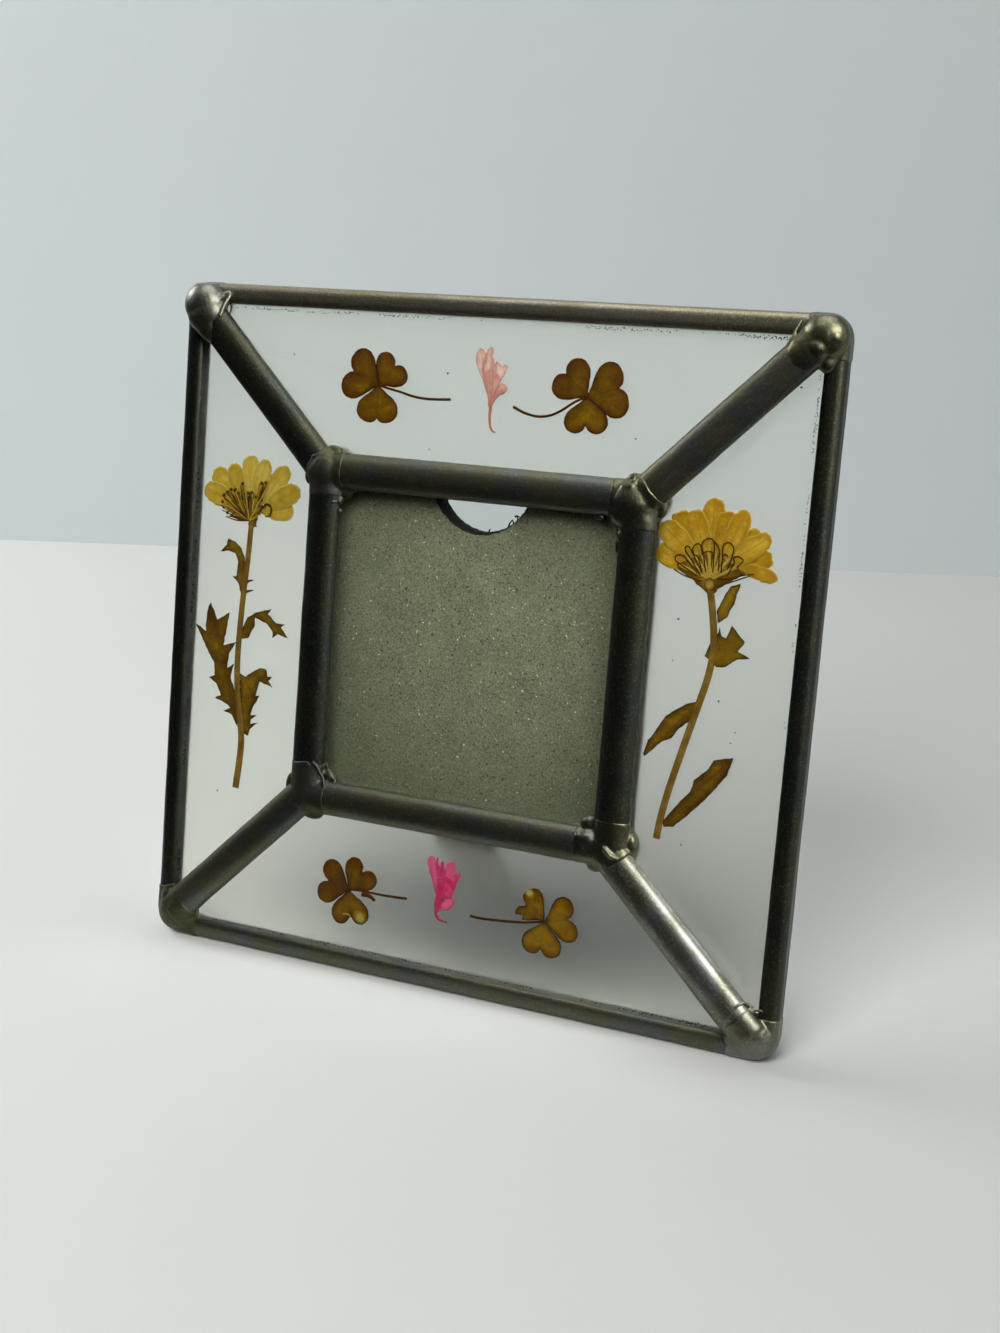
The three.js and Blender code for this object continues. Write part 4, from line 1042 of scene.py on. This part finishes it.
# The diagonals weren't laid quite true: each is this far off its line at its inner and outer end. Their bead
# on the back is narrow.
CORNERS = ["bottom_right", "top_right", "top_left", "bottom_left"]
OFF_LINE = [
    ((-0.8, -0.6), (0, 0)), ((0, 0), (0, 0)), ((-0.4, -0.4), (-0.3, -0.3)), ((-0.3, 0.3), (-0.3, 0.3)),
]
# The bottom right diagonal's bright copy is partly a painted highlight, and the top left's black copy is
# painted shade.
diagonal_leads = [tinned_highlit_lead, grey_lead, shaded_black_lead, grey_lead]
for k, corner in enumerate(CORNERS):
    inner, outer = OFF_LINE[k]
    start = Vector(quarter((OPENING_HALF, -OPENING_HALF), k)) + Vector(inner)
    end = Vector(quarter((FRAME_HALF - DIAGONAL_END, DIAGONAL_END - FRAME_HALF), k)) + Vector(outer)
    bar = came(bar_section(DIAGONAL_BACK_HALF), start, end)
    finished_lead(bar, f"diagonal_lead_{corner}", diagonal_leads[k], "lead", f"diagonal_came_{corner}")


# ---- Solder ----
# Where cames meet they are joined with melted solder, heaped with the iron on both faces. It wets the came
# ends as a thicker skin that stops in a raised lip, and runs together into a ball at each outer corner.
bright_solder = lead_finish("bright_solder", (120, 122, 116), (102, 102, 86), (172, 172, 164), 0.4, rub=0.3)
olive_solder = lead_finish("olive_solder", (96, 98, 90), (98, 97, 74), (160, 158, 142), 0.36, rub=0.3)
dull_solder = lead_finish("dull_solder", (84, 85, 80), (74, 76, 52), (120, 118, 106), 0.5, rub=0.2)
BEAD_LINE = FRONT_BEAD[0]
SOLDER_VOXEL = 0.24
BACK_LUMP = (5, 5, 2.2)
THROUGH_LUMP = (1.5, 1.5, 5)  # joins a joint's front and back

SOLDER = {
    "corner_ball_bottom_right": {
        "finish": bright_solder,
        "arms": [((66.2, -66.2), (69.5, -69.5), 0.12)],
        "rims": [((64.6, -72.55), (70, -72.55)), ((72.55, -70), (72.55, -65.5))],
        "lumps": [
            ((70, -70, 0), (5.1, 5.1, 4.9)), ((69.6, -69.6, 2), (4.4, 4.4, 3.0)),
            ((66.5, -70.4, 1.5), (3, 3, 3)),
        ],
        "ridges": [
            (0.4, [
                (65.4, -65.4, 5.5), (66.0, -64.2, 5.4), (67.1, -62.9, 4.8), (67.9, -62.4, 4.0),
                (68.9, -62.9, 3.4), (69.9, -63.8, 3.0), (71.4, -63.8, 2.8),
            ]),
        ],
    },
    "corner_ball_top_right": {
        "finish": olive_solder,
        "arms": [],
        "rims": [((70, 72.55), (66.5, 72.55)), ((72.55, 66), (72.55, 70))],
        "lumps": [
            ((70.1, 70.1, 0), (5.1, 5.1, 5.6)), ((70.4, 70.4, 2.6), (4.7, 4.7, 3.3)),
            ((67.5, 67.5, 3.3), (8.0, 3.95, 2.55), 45), ((72.2, 70.3, 3.4), (2.4, 2.2, 2.3)),
            ((69.4, 68.2, 4.0), (2.6, 2.4, 2.1)), ((71.2, 65.9, 2.6), (1.9, 2.6, 1.6)),
        ],
        "ridges": [
            (0.35, [(65.4, 73.2, 3.0), (64.7, 71.3, 3.6), (64.1, 69.8, 4.0), (63.3, 68.1, 4.4)]),
            (0.35, [(67.0, 72.6, 3.4), (66.2, 71.5, 4.1), (65.4, 69.9, 4.5), (64.8, 68.9, 4.8)]),
        ],
        "waves": 0.2,
    },
    "corner_ball_top_left": {
        "finish": bright_solder,
        "arms": [],
        "rims": [((-67, 72.55), (-70, 72.55)), ((-72.55, 70), (-72.55, 67))],
        "lumps": [
            ((-70.1, 70.1, 0), (5.1, 5.1, 5.6)), ((-69.9, 70.0, 2.6), (5.1, 5.1, 4.0)),
            ((-69.0, 68.0, 3.4), (4.8, 4.6, 3.2)), ((-68.0, 65.6, 3.5), (4.2, 3.4, 2.5), -45),
            ((-67.3, 64.0, 3.4), (3.0, 2.6, 2.2), -45),
        ],
        "ridges": [
            (0.75, [(-66.2, 69.6, 4.3), (-65.7, 71.2, 3.9), (-64.8, 72.4, 3.2), (-63.8, 72.7, 2.8)]),
            (0.55, [(-63.6, 72.0, 2.9), (-64.1, 70.6, 3.7), (-64.4, 69.2, 4.3), (-64.6, 67.6, 4.8)]),
        ],
        "waves": 0.1,
    },
    "corner_ball_bottom_left": {
        "finish": dull_solder,
        "arms": [((-66.3, -66.3), (-69.5, -69.5), 0.05)],
        "rims": [((-70, -72.55), (-64, -72.55)), ((-72.55, -64.2), (-72.55, -70))],
        "lumps": [
            ((-70, -70, 0), (5.1, 5.1, 4.9)), ((-69.4, -69.4, 2.2), (4.5, 4.5, 3.0)),
            ((-67.0, -70.6, 1.8), (3.2, 3, 2.8)), ((-71.3, -66.4, 2.2), (2.2, 3, 2.4)),
        ],
        "ridges": [(0.4, [(-72.2, -64.2, 3.2), (-71.2, -63.8, 3.6), (-69.8, -63.2, 3.8)])],
    },
    "joint_lump_bottom_right": {
        "finish": olive_solder,
        "arms": [
            ((36.2, -36.2), (28.8, -36.2), 0.1), ((36.2, -36.2), (36.2, -30), 0.07),
            ((35.6, -36.6), (38.4, -39.1), 0.12),
        ],
        "lumps": [
            ((35.6, -36.8, BEAD_LINE), (4.4, 4.4, 2.6)), ((31.5, -35.2, 3.9), (3, 2.6, 2.1)),
            ((29.7, -34.4, 4.3), (1.3, 1.2, 1.4)), ((33.4, -40.2, 2.9), (2.2, 1.6, 0.9)),
            ((40.3, -34.6, 2.9), (1.6, 2.2, 0.9)), ((31.3, -32.2, 3.1), (2.0, 2.3, 1.3)),
        ],
        "ridges": [
            (0.32, [
                (32.4, -28.8, 3.4), (32.4, -31.0, 3.5), (31.6, -32.2, 3.5), (30.4, -32.4, 3.6),
                (29.2, -32.7, 4.1), (28.5, -33.6, 4.8),
            ]),
            (0.4, [
                (36.0, -35.6, 6.0), (37.3, -36.9, 5.9), (38.7, -37.6, 5.5), (39.6, -36.6, 4.8),
                (40.5, -36.4, 3.9),
            ]),
            (0.3, [(37.0, -39.4, 5.5), (38.3, -38.6, 5.7), (39.2, -37.4, 5.2)]),
        ],
    },
    "joint_lump_top_right": {
        "finish": olive_solder,
        "arms": [
            ((36.2, 36.2), (30.4, 36.2), 0.12), ((36.2, 36.2), (36.2, 29.9), 0.1),
            ((36.2, 36.2), (38.6, 38.6), 0.15),
        ],
        "lumps": [
            ((34.6, 35.6, 3.9), (4.6, 4.3, 2.6)), ((33.6, 33.9, 3.5), (4.2, 3.9, 2.5)),
            ((31.5, 31.8, 2.6), (1.8, 1.8, 0.9)), ((40.4, 34.8, 2.9), (1.5, 2.2, 0.9)),
            ((34.8, 40.2, 3.1), (2.0, 1.3, 1.0)), ((33.3, 28.6, 3.9), (1.3, 1.6, 1.1)),
            ((32.2, 26.4, 3.0), (0.7, 1.7, 0.8)), ((27.6, 31.9, 2.9), (1.2, 0.7, 0.7)),
        ],
        "ridges": [
            (0.35, [
                (36.7, 41.3, 3.6), (37.3, 40.3, 4.8), (38.1, 38.8, 5.6), (39.1, 37.4, 5.4),
                (40.2, 36.2, 4.6), (41.0, 35.4, 3.6),
            ]),
            (0.5, [(35.7, 40.8, 3.9), (35.5, 39.6, 5.0), (34.7, 38.8, 5.5), (33.0, 38.6, 5.2)]),
        ],
    },
    "joint_lump_top_left": {
        "finish": dull_solder,
        "arms": [
            ((-36.2, 36.2), (-31.6, 36.2), 0.1), ((-36.2, 36.2), (-36.2, 30.6), 0.1),
            ((-36.4, 36.0), (-38.9, 38.4), 0.12),
        ],
        "lumps": [
            ((-36.4, 36.0, 3.7), (4.5, 4.5, 2.6)), ((-31.6, 31.8, 2.7), (1.9, 1.9, 1.0)),
            ((-34.9, 40.2, 3.0), (2.2, 1.3, 1.0)), ((-40.4, 34.6, 2.9), (1.3, 2.2, 0.9)),
            ((-33.6, 29.4, 4.2), (0.8, 0.7, 0.9)), ((-32.4, 29.6, 3.5), (0.7, 0.8, 0.8)),
            ((-32.3, 27.4, 3.4), (0.6, 0.9, 0.7)), ((-29.6, 32.4, 3.1), (1.3, 0.6, 0.6)),
        ],
        "ridges": [
            (0.35, [
                (-40.3, 37.2, 3.8), (-39.6, 38.0, 4.9), (-38.6, 38.9, 5.5), (-37.3, 39.3, 5.3),
                (-35.9, 40.3, 4.2),
            ]),
            (0.35, [
                (-37.4, 38.2, 5.7), (-35.8, 38.4, 5.5), (-34.4, 38.9, 5.0), (-32.7, 39.6, 4.3),
                (-31.0, 40.0, 3.7),
            ]),
        ],
    },
    "joint_lump_bottom_left": {
        "finish": dull_solder,
        "arms": [
            ((-36.2, -36.2), (-30.9, -36.2), 0.1), ((-36.2, -36.2), (-36.2, -28.7), 0.07),
            ((-36.4, -36.0), (-38.2, -38.0), 0.07),
        ],
        "lumps": [
            ((-36.0, -36.0, BEAD_LINE), (4.6, 4.6, 2.45)), ((-40.2, -34.6, 2.9), (1.6, 2.8, 1.0)),
            ((-34.6, -40.0, 2.9), (2.8, 1.7, 1.0)), ((-31.2, -31.6, 2.7), (1.7, 1.7, 1.0)),
        ],
        "ridges": [
            (0.35, [
                (-34.0, -28.2, 5.4), (-33.3, -28.8, 5.1), (-32.5, -30.2, 4.8), (-31.5, -31.8, 4.6),
                (-31.0, -33.4, 4.9),
            ]),
            (0.3, [
                (-31.9, -28.4, 3.0), (-31.3, -30.2, 2.9), (-30.0, -31.5, 3.0), (-29.0, -32.2, 3.4),
                (-30.3, -33.8, 4.8),
            ]),
            (0.3, [(-38.9, -29.6, 5.0), (-37.2, -28.7, 5.5), (-35.2, -28.4, 5.6)]),
        ],
    },
}


def blob(place, radii, turn=0, segments=28):
    """An ellipsoid, in millimetres."""
    bpy.ops.object.select_all(action="DESELECT")
    bpy.ops.mesh.primitive_uv_sphere_add(
        segments=segments,
        ring_count=segments // 2,
        radius=MM,
        location=Vector(place) * MM,
        rotation=(0, 0, math.radians(turn)),
        scale=radii,
    )
    bpy.ops.object.transform_apply(location=True, rotation=True, scale=True)
    return bpy.context.active_object


def melted(arms, rims, lumps, ridges, back_at):
    """Solder run together from skins round the came ends, lumps and thin ridges, all in millimetres.

    An arm is a skin over a bar came and a rim one over an edge came. A ridge has a radius and its points.
    """
    heap = [blob(*lump) for lump in lumps]
    for start, end, grow in arms:
        heap.append(came(bead(1, BEAD_LINE, FRONT_BEAD[1] + grow, BAR_HALF + grow), start, end))
    heap += [came(edge_section(0.2), start, end) for start, end in rims]
    for radius, points in ridges:
        for a, b in zip(points, points[1:]):
            a, b = Vector(a), Vector(b)
            steps = max(1, round((b - a).length / (radius * 0.7)))
            heap += [blob(a.lerp(b, i / steps), (radius,) * 3, 0, 10) for i in range(steps + 1)]
    if back_at:
        heap.append(blob((*back_at, -BACK_BEAD[0]), BACK_LUMP))
        heap.append(blob((*back_at, 0), THROUGH_LUMP))
    piece = joined("solder", heap)
    changed(piece, "REMESH", mode="VOXEL", voxel_size=SOLDER_VOXEL * MM)
    changed(piece, "SMOOTH", factor=0.5, iterations=9)
    scratched(piece, lambda x, y, z: (x * 20, y, z))
    return piece


for name, solder in SOLDER.items():
    at_opening = name.startswith("joint_lump")
    middle = solder["arms"][0][0] if at_opening else None
    run = melted(solder["arms"], solder.get("rims", []), solder["lumps"], solder["ridges"], middle)
    waves = solder.get("waves", 0.35)
    stands_for = name.replace("joint_lump", "opening_solder").replace("corner_ball", "edge_solder")
    finished_lead(run, name, solder["finish"], "solder", stands_for, waves=waves, dents=waves / 2, spare=0)


# ---- Dirt ----
# Black crumbs of old polish and flux are left in the corner between the rim's lead and the glass, mostly
# along the top and the right. A few specks of the same lie on the glass.
DIRT_LINES = [
    [(-66.4, 69.6), (-58, 69.8), (-44, 69.7), (-24, 69.9), (-2, 69.8)],
    [(6, 69.9), (26, 69.8), (48, 69.9), (64, 69.7)],
    [(70.0, 63.0), (69.9, 44), (70.0, 22), (69.9, -6)],
    [(-69.9, 58), (-70.0, 30), (-69.9, -4), (-70.0, -36), (-69.9, -60)],
    [(-60, -70.0), (-20, -69.9), (24, -70.0), (60, -69.9)],
]
SPECKS = [
    (-60.5, -39.5), (46, 13), (45.6, 4.5), (56, -2.5), (60, -8.3), (59.3, -10.6), (51, -33), (-47, 60.4),
    (-12.6, 42.4), (33.5, 48.2), (-9.5, 58.6), (66.4, 60.6),
]
GLASS_FACE = 1.85  # in front of the middle of the panels
dirt_finish = Finish("old_polish", {"Roughness": 0.9, "Specular IOR Level": 0.1})
crust = dirt_finish.noise(0.5, detail=2)
dirt_finish.varies("Base Color", dirt_finish.ramp(
    crust, (0.4, colour(14, 14, 11)), (0.6, colour(40, 40, 34)), (0.7, colour(120, 120, 110))
))
draw = random.Random(5)
grain = blob((0, 0, 0), (1, 1, 1), 0, 8)


def crumb(x, y, smallest, largest):
    """A copy of the grain lying on the glass, squeezed to a size of its own."""
    made = bpy.data.objects.new("crumb", grain.data.copy())
    squeezed = Matrix.Diagonal((*[draw.uniform(smallest, largest) for _ in range(3)], 1))
    made.data.transform(Matrix.Translation(Vector((x, y, GLASS_FACE)) * MM) @ squeezed)
    bpy.context.scene.collection.objects.link(made)
    return made


crumbs = [crumb(x, y, 0.12, 0.24) for x, y in SPECKS]
for line in DIRT_LINES:
    steps = 6 * round(math.dist(line[0], line[-1]))
    for i in range(steps):
        (x, y), _ = line_point(line, i / steps)
        thick = 0.3 + 1.1 * noise.noise(Vector((x * 0.11, y * 0.11, 4)))
        if draw.random() < thick:
            wide = 0.12 + 0.25 * max(thick, 0)
            crumbs.append(crumb(x + draw.uniform(-wide, wide), y + draw.uniform(-wide, wide), 0.05, 0.17))
bpy.data.objects.remove(grain)
crumbs = joined("crumbs", crumbs)
crumbs.data.transform(LEANING)
dirt_finish.put_on(crumbs)
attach(crumbs, "root")


# ---- Backing board ----
# A square of grey chipboard closes the opening from behind, with a half-round notch for the fingertip that
# pushes a picture out. It was cut with a hot tool that left the notch's edge charred and ragged.
BOARD = {"half": 34.7, "front": -1.0, "thickness": 3.2}
NOTCH = {"radius": 11.3, "height": 37.2}
CHAR_BITS = [
    [(6.0, 27.3), (6.2, 28.3), (6.8, 29.2)], [(6.7, 27.7), (7.1, 28.4), (6.8, 29.2)],
    [(7.9, 28.5), (8.0, 29.4), (7.8, 30.1)], [(7.3, 29.9), (7.8, 30.1), (8.4, 29.9)],
    [(1.5, 25.6), (1.6, 26.2), (1.8, 26.8)],
]


def worn_edges(piece, width):
    """Rounds the sharp edges by this width in millimetres."""
    changed(
        piece, "BEVEL", width=width * MM, segments=2, limit_method="ANGLE", angle_limit=math.radians(50)
    )


board_finish = Finish("grey_board", {"Roughness": 0.88, "Specular IOR Level": 0.25})
pulp = board_finish.noise(0.42, detail=5, roughness=0.78)
mottle = board_finish.noise(7, detail=3)
flecks = board_finish.noise(0.55, detail=1)
board_colour = board_finish.ramp(
    0.86 * pulp + 0.14 * mottle,
    (0.37, colour(54, 56, 40)),
    (0.5, colour(82, 85, 66)),
    (0.63, colour(105, 108, 87)),
)
board_colour = board_finish.blend(board_finish.step(flecks, 0.67, 0.71), board_colour, colour(34, 34, 24))
board_colour = board_finish.blend(board_finish.step(flecks, 0.28, 0.23), board_colour, colour(168, 168, 146))
from_middle = board_finish.distance(board_finish.place(), CENTRE)
# Painted shade: the board is made darker towards its edges, where it lies sunk behind the cames.
painted_edge_shade = board_finish.step(from_middle * 1000 + 9 * (mottle - 0.5), 14, 46)
board_colour = board_finish.blend(0.5 * painted_edge_shade, board_colour, colour(52, 55, 38))
charred_about = Vector((-0.7, NOTCH["height"] - 0.35, BOARD["front"]))
from_notch = board_finish.distance(board_finish.place(), LEANING @ (charred_about * MM))
char_width = NOTCH["radius"] + 0.15 + 0.8 * (board_finish.noise(1.3, detail=4) - 0.45)
char = board_finish.step(from_notch * 1000 - char_width, 0.25, 0.0)
board_colour = board_finish.blend(char, board_colour, colour(5, 5, 4))
board_finish.varies("Base Color", board_colour)
board_finish.relief(pulp, 0.08)

bpy.ops.object.select_all(action="DESELECT")
bpy.ops.mesh.primitive_cube_add(size=1)
board = bpy.context.active_object
board.scale = Vector((2 * BOARD["half"], 2 * BOARD["half"], BOARD["thickness"])) * MM
board.location = (0, 0, (BOARD["front"] - BOARD["thickness"] / 2) * MM)
bpy.ops.object.transform_apply(location=True, rotation=True, scale=True)
bpy.ops.mesh.primitive_cylinder_add(
    vertices=200, radius=NOTCH["radius"] * MM, depth=20 * MM, location=(0, NOTCH["height"] * MM, 0)
)
cutter = bpy.context.active_object
for vertex in cutter.data.vertices:
    outwards = Vector((vertex.co.x, vertex.co.y, 0)).normalized()
    wander = noise.noise(Vector((vertex.co.x, vertex.co.y, 0)) / MM * 1.4)
    vertex.co += outwards * (0.16 * wander - 0.1) * MM
changed(board, "BOOLEAN", operation="DIFFERENCE", object=cutter)
bpy.data.objects.remove(cutter)
worn_edges(board, 0.18)
smoothed(board, 35)
bits = [strand(bit, 0.5, 0.24, BOARD["front"] - 0.3, 0.9, sides=6) for bit in CHAR_BITS]
settle(joined("chipboard", [board, *bits]), board_finish, "grey_board", "backing_board")


# ---- Tabs and leg on the back ----
# Four bent tabs, soldered on the back of the opening's came, hold the board in, and one wide strap bent to a
# foot leans the frame back. All are tinned strip with its edges filed round.
tinned = lead_finish("tinned_strip", (118, 120, 114), (112, 110, 96), (170, 168, 158), 0.36)
STRIPS = [f"board_tab_{level}_{side}" for level in ("upper", "lower") for side in ("left", "right")]
for name in [*STRIPS, "strap_leg"]:
    strip = nodes[name].copy()
    strip.data = nodes[name].data.copy()
    bpy.context.scene.collection.objects.link(strip)
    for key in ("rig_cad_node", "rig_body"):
        del strip[key]
    strip.parent = None
    select_only(strip)
    bpy.ops.object.mode_set(mode="EDIT")
    bpy.ops.mesh.select_all(action="SELECT")
    bpy.ops.mesh.remove_doubles(threshold=0.00001)
    bpy.ops.mesh.dissolve_limited(angle_limit=math.radians(1))
    bpy.ops.object.mode_set(mode="OBJECT")
    worn_edges(strip, 0.3 if name == "strap_leg" else 0.12)
    scratched(strip, lambda x, y, z: (y, x, x))
    strip.name = strip.data.name = name.replace("board_tab", "tab") + "_strip"
    smoothed(strip, 35)
    tinned.put_on(strip)
    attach(strip, "root")
    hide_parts(name)


# ---- Table, wall and light ----
# A plain pale table top with a pale wall behind, lit softly from the upper right and from the left. Dark
# cloths stand round the front, seen only in the metal, which is dark because it mirrors an unlit room. A
# patch of shade lies on the table behind the frame.
TABLE_SIZE = 6
WALL_FOOT = Vector((-0.153, 0.317, 0))  # a point on the line where the wall meets the table
WALL_TURN = math.radians(16.1)
WALL_SIZE = (5.0, 1.2)
CLOTH_DISTANCE = 0.24
CLOTH_HEIGHT = 0.17
CLOTH_START = -100  # degrees round from the front
CLOTH_WIDTH = 135
SHADE_PLACE = (0.004, 0.012, 0.0012)
SHADE_REACH = (0.09, 0.06)
LIT_POINT = Vector((0, 0, 0.07))
LENS = 47.24  # mm, on a sensor 36 mm wide
CAMERA_PLACE = (0.15335, -0.33620, 0.18744)
CAMERA_TILT = math.radians(71.87)
CAMERA_TURN = math.radians(24.46)


def stage_paint(name, tint):
    return Finish(name, {"Base Color": tint, "Roughness": 0.7, "Specular IOR Level": 0.2})


bpy.ops.mesh.primitive_plane_add(size=TABLE_SIZE)
table = bpy.context.active_object
table.name = "table"
stage_paint("table_paint", colour(226, 228, 226)).put_on(table)

bpy.ops.mesh.primitive_plane_add(size=1)
wall = bpy.context.active_object
wall.name = "wall"
wall.data.transform(
    Matrix.Translation(WALL_FOOT + Vector((0, 0, WALL_SIZE[1] / 2)))
    @ Matrix.Rotation(WALL_TURN, 4, "Z")
    @ Matrix.Rotation(math.pi / 2, 4, "X")
    @ Matrix.Diagonal((*WALL_SIZE, 1, 1))
)
# The wall is clear to the camera from behind, so that the frame's back can be looked at.
wall_paint = stage_paint("wall_paint", colour(216, 224, 226))
from_behind = wall_paint.node("NewGeometry", {}, {}, "Backfacing")
by_camera = wall_paint.node("LightPath", {}, {}, "Is Camera Ray")
painted = Amount(wall_paint, wall_paint.shader.outputs[0])
hidden = wall_paint.node("BsdfTransparent", {}, {})
shown = wall_paint.node("MixShader", {}, {0: from_behind * by_camera, 1: painted, 2: hidden})
wall_paint.feed(wall_paint.tree.nodes["Material Output"].inputs["Surface"], shown)
wall_paint.put_on(wall)


def unseen(piece, *rays):
    """Hides a piece of the stage from these kinds of ray."""
    for ray in rays:
        setattr(piece, "visible_" + ray, False)


def unlit_cloth(name, place):
    """A dark cloth near the object, seen only in reflections. place bends a grid of 0 to 1 to its shape."""
    bpy.ops.mesh.primitive_grid_add(x_subdivisions=40, y_subdivisions=2, size=1)
    cloth = bpy.context.active_object
    cloth.name = name
    for vertex in cloth.data.vertices:
        vertex.co = place(vertex.co.x + 0.5, vertex.co.y + 0.5)
    Finish(name, {"Base Color": colour(16, 16, 16), "Roughness": 1.0}).put_on(cloth)
    unseen(cloth, "camera", "diffuse", "shadow")


def hung(across, up):
    """A cloth that stands in an arc round the front and the right."""
    angle = math.radians(CLOTH_START + CLOTH_WIDTH * across)
    return (CLOTH_DISTANCE * math.sin(angle), -CLOTH_DISTANCE * math.cos(angle), CLOTH_HEIGHT * up)


def laid(across, deep):
    """A cloth that lies on the table in front of the frame."""
    return (2 * across - 1, -0.055 - 1.2 * deep, 0.001)


unlit_cloth("hung_cloth", hung)
unlit_cloth("laid_cloth", laid)

# The table just behind the frame is in its shade, which shows only through the frosted panes.
shade_finish = Finish("shade", {"Base Color": colour(84, 87, 84), "Roughness": 1.0})
shade_place = shade_finish.node("UVMap", {}, {})
off_middle = shade_finish.distance(shade_place, (0.5, 0.5, 0))
shade_finish.varies("Alpha", shade_finish.step(off_middle, 0.5, 0.12))
bpy.ops.mesh.primitive_circle_add(vertices=64, radius=1, fill_type="NGON", calc_uvs=True)
shade = bpy.context.active_object
shade.name = "shade"
shade.data.transform(Matrix.Translation(SHADE_PLACE) @ Matrix.Diagonal((*SHADE_REACH, 1, 1)))
shade_finish.put_on(shade)
unseen(shade, "camera", "diffuse", "glossy", "shadow")

world = bpy.data.worlds.new("room")
world.use_nodes = True
room = world.node_tree
background = room.nodes["Background"]
rays = room.nodes.new("ShaderNodeLightPath")
tint = room.nodes.new("ShaderNodeMix")
tint.data_type = "RGBA"
room.links.new(rays.outputs["Is Glossy Ray"], tint.inputs[0])
tint.inputs[6].default_value = colour(205, 209, 209)
tint.inputs[7].default_value = colour(90, 93, 93)
room.links.new(tint.outputs[2], background.inputs["Color"])
background.inputs["Strength"].default_value = 0.22
bpy.context.scene.world = world


def soft_light(name, azimuth, elevation, distance, size, power, *hidden_from):
    """A square soft box aimed at the frame. Azimuth is to the right of the front."""
    light = bpy.data.lights.new(name, "AREA")
    light.size = size
    light.energy = power
    light.color = (1, 0.985, 0.96)
    lamp = bpy.data.objects.new(name, light)
    bpy.context.scene.collection.objects.link(lamp)
    a, e = math.radians(azimuth), math.radians(elevation)
    away = Vector((math.sin(a) * math.cos(e), -math.cos(a) * math.cos(e), math.sin(e)))
    lamp.location = LIT_POINT + away * distance
    lamp.rotation_euler = away.to_track_quat("Z", "Y").to_euler()
    unseen(lamp, *hidden_from)


soft_light("front", -3, 44, 1.0, 0.5, 6.6, "glossy")
soft_light("left", -94, 28, 0.85, 0.28, 3.0)
soft_light("overhead", 0, 84, 0.8, 0.7, 4.4, "diffuse")
soft_light("upper_right", 50, 37, 0.9, 0.4, 7.0, "diffuse")
soft_light("right", 80, 18, 0.8, 1.0, 1.9, "diffuse")

camera_data = bpy.data.cameras.new("camera")
camera_data.sensor_width = 36
camera_data.lens = LENS
camera = bpy.data.objects.new("camera", camera_data)
camera.location = CAMERA_PLACE
camera.rotation_euler = (CAMERA_TILT, 0, CAMERA_TURN)
bpy.context.scene.collection.objects.link(camera)
bpy.context.scene.camera = camera
bpy.context.scene.view_settings.view_transform = "Standard"
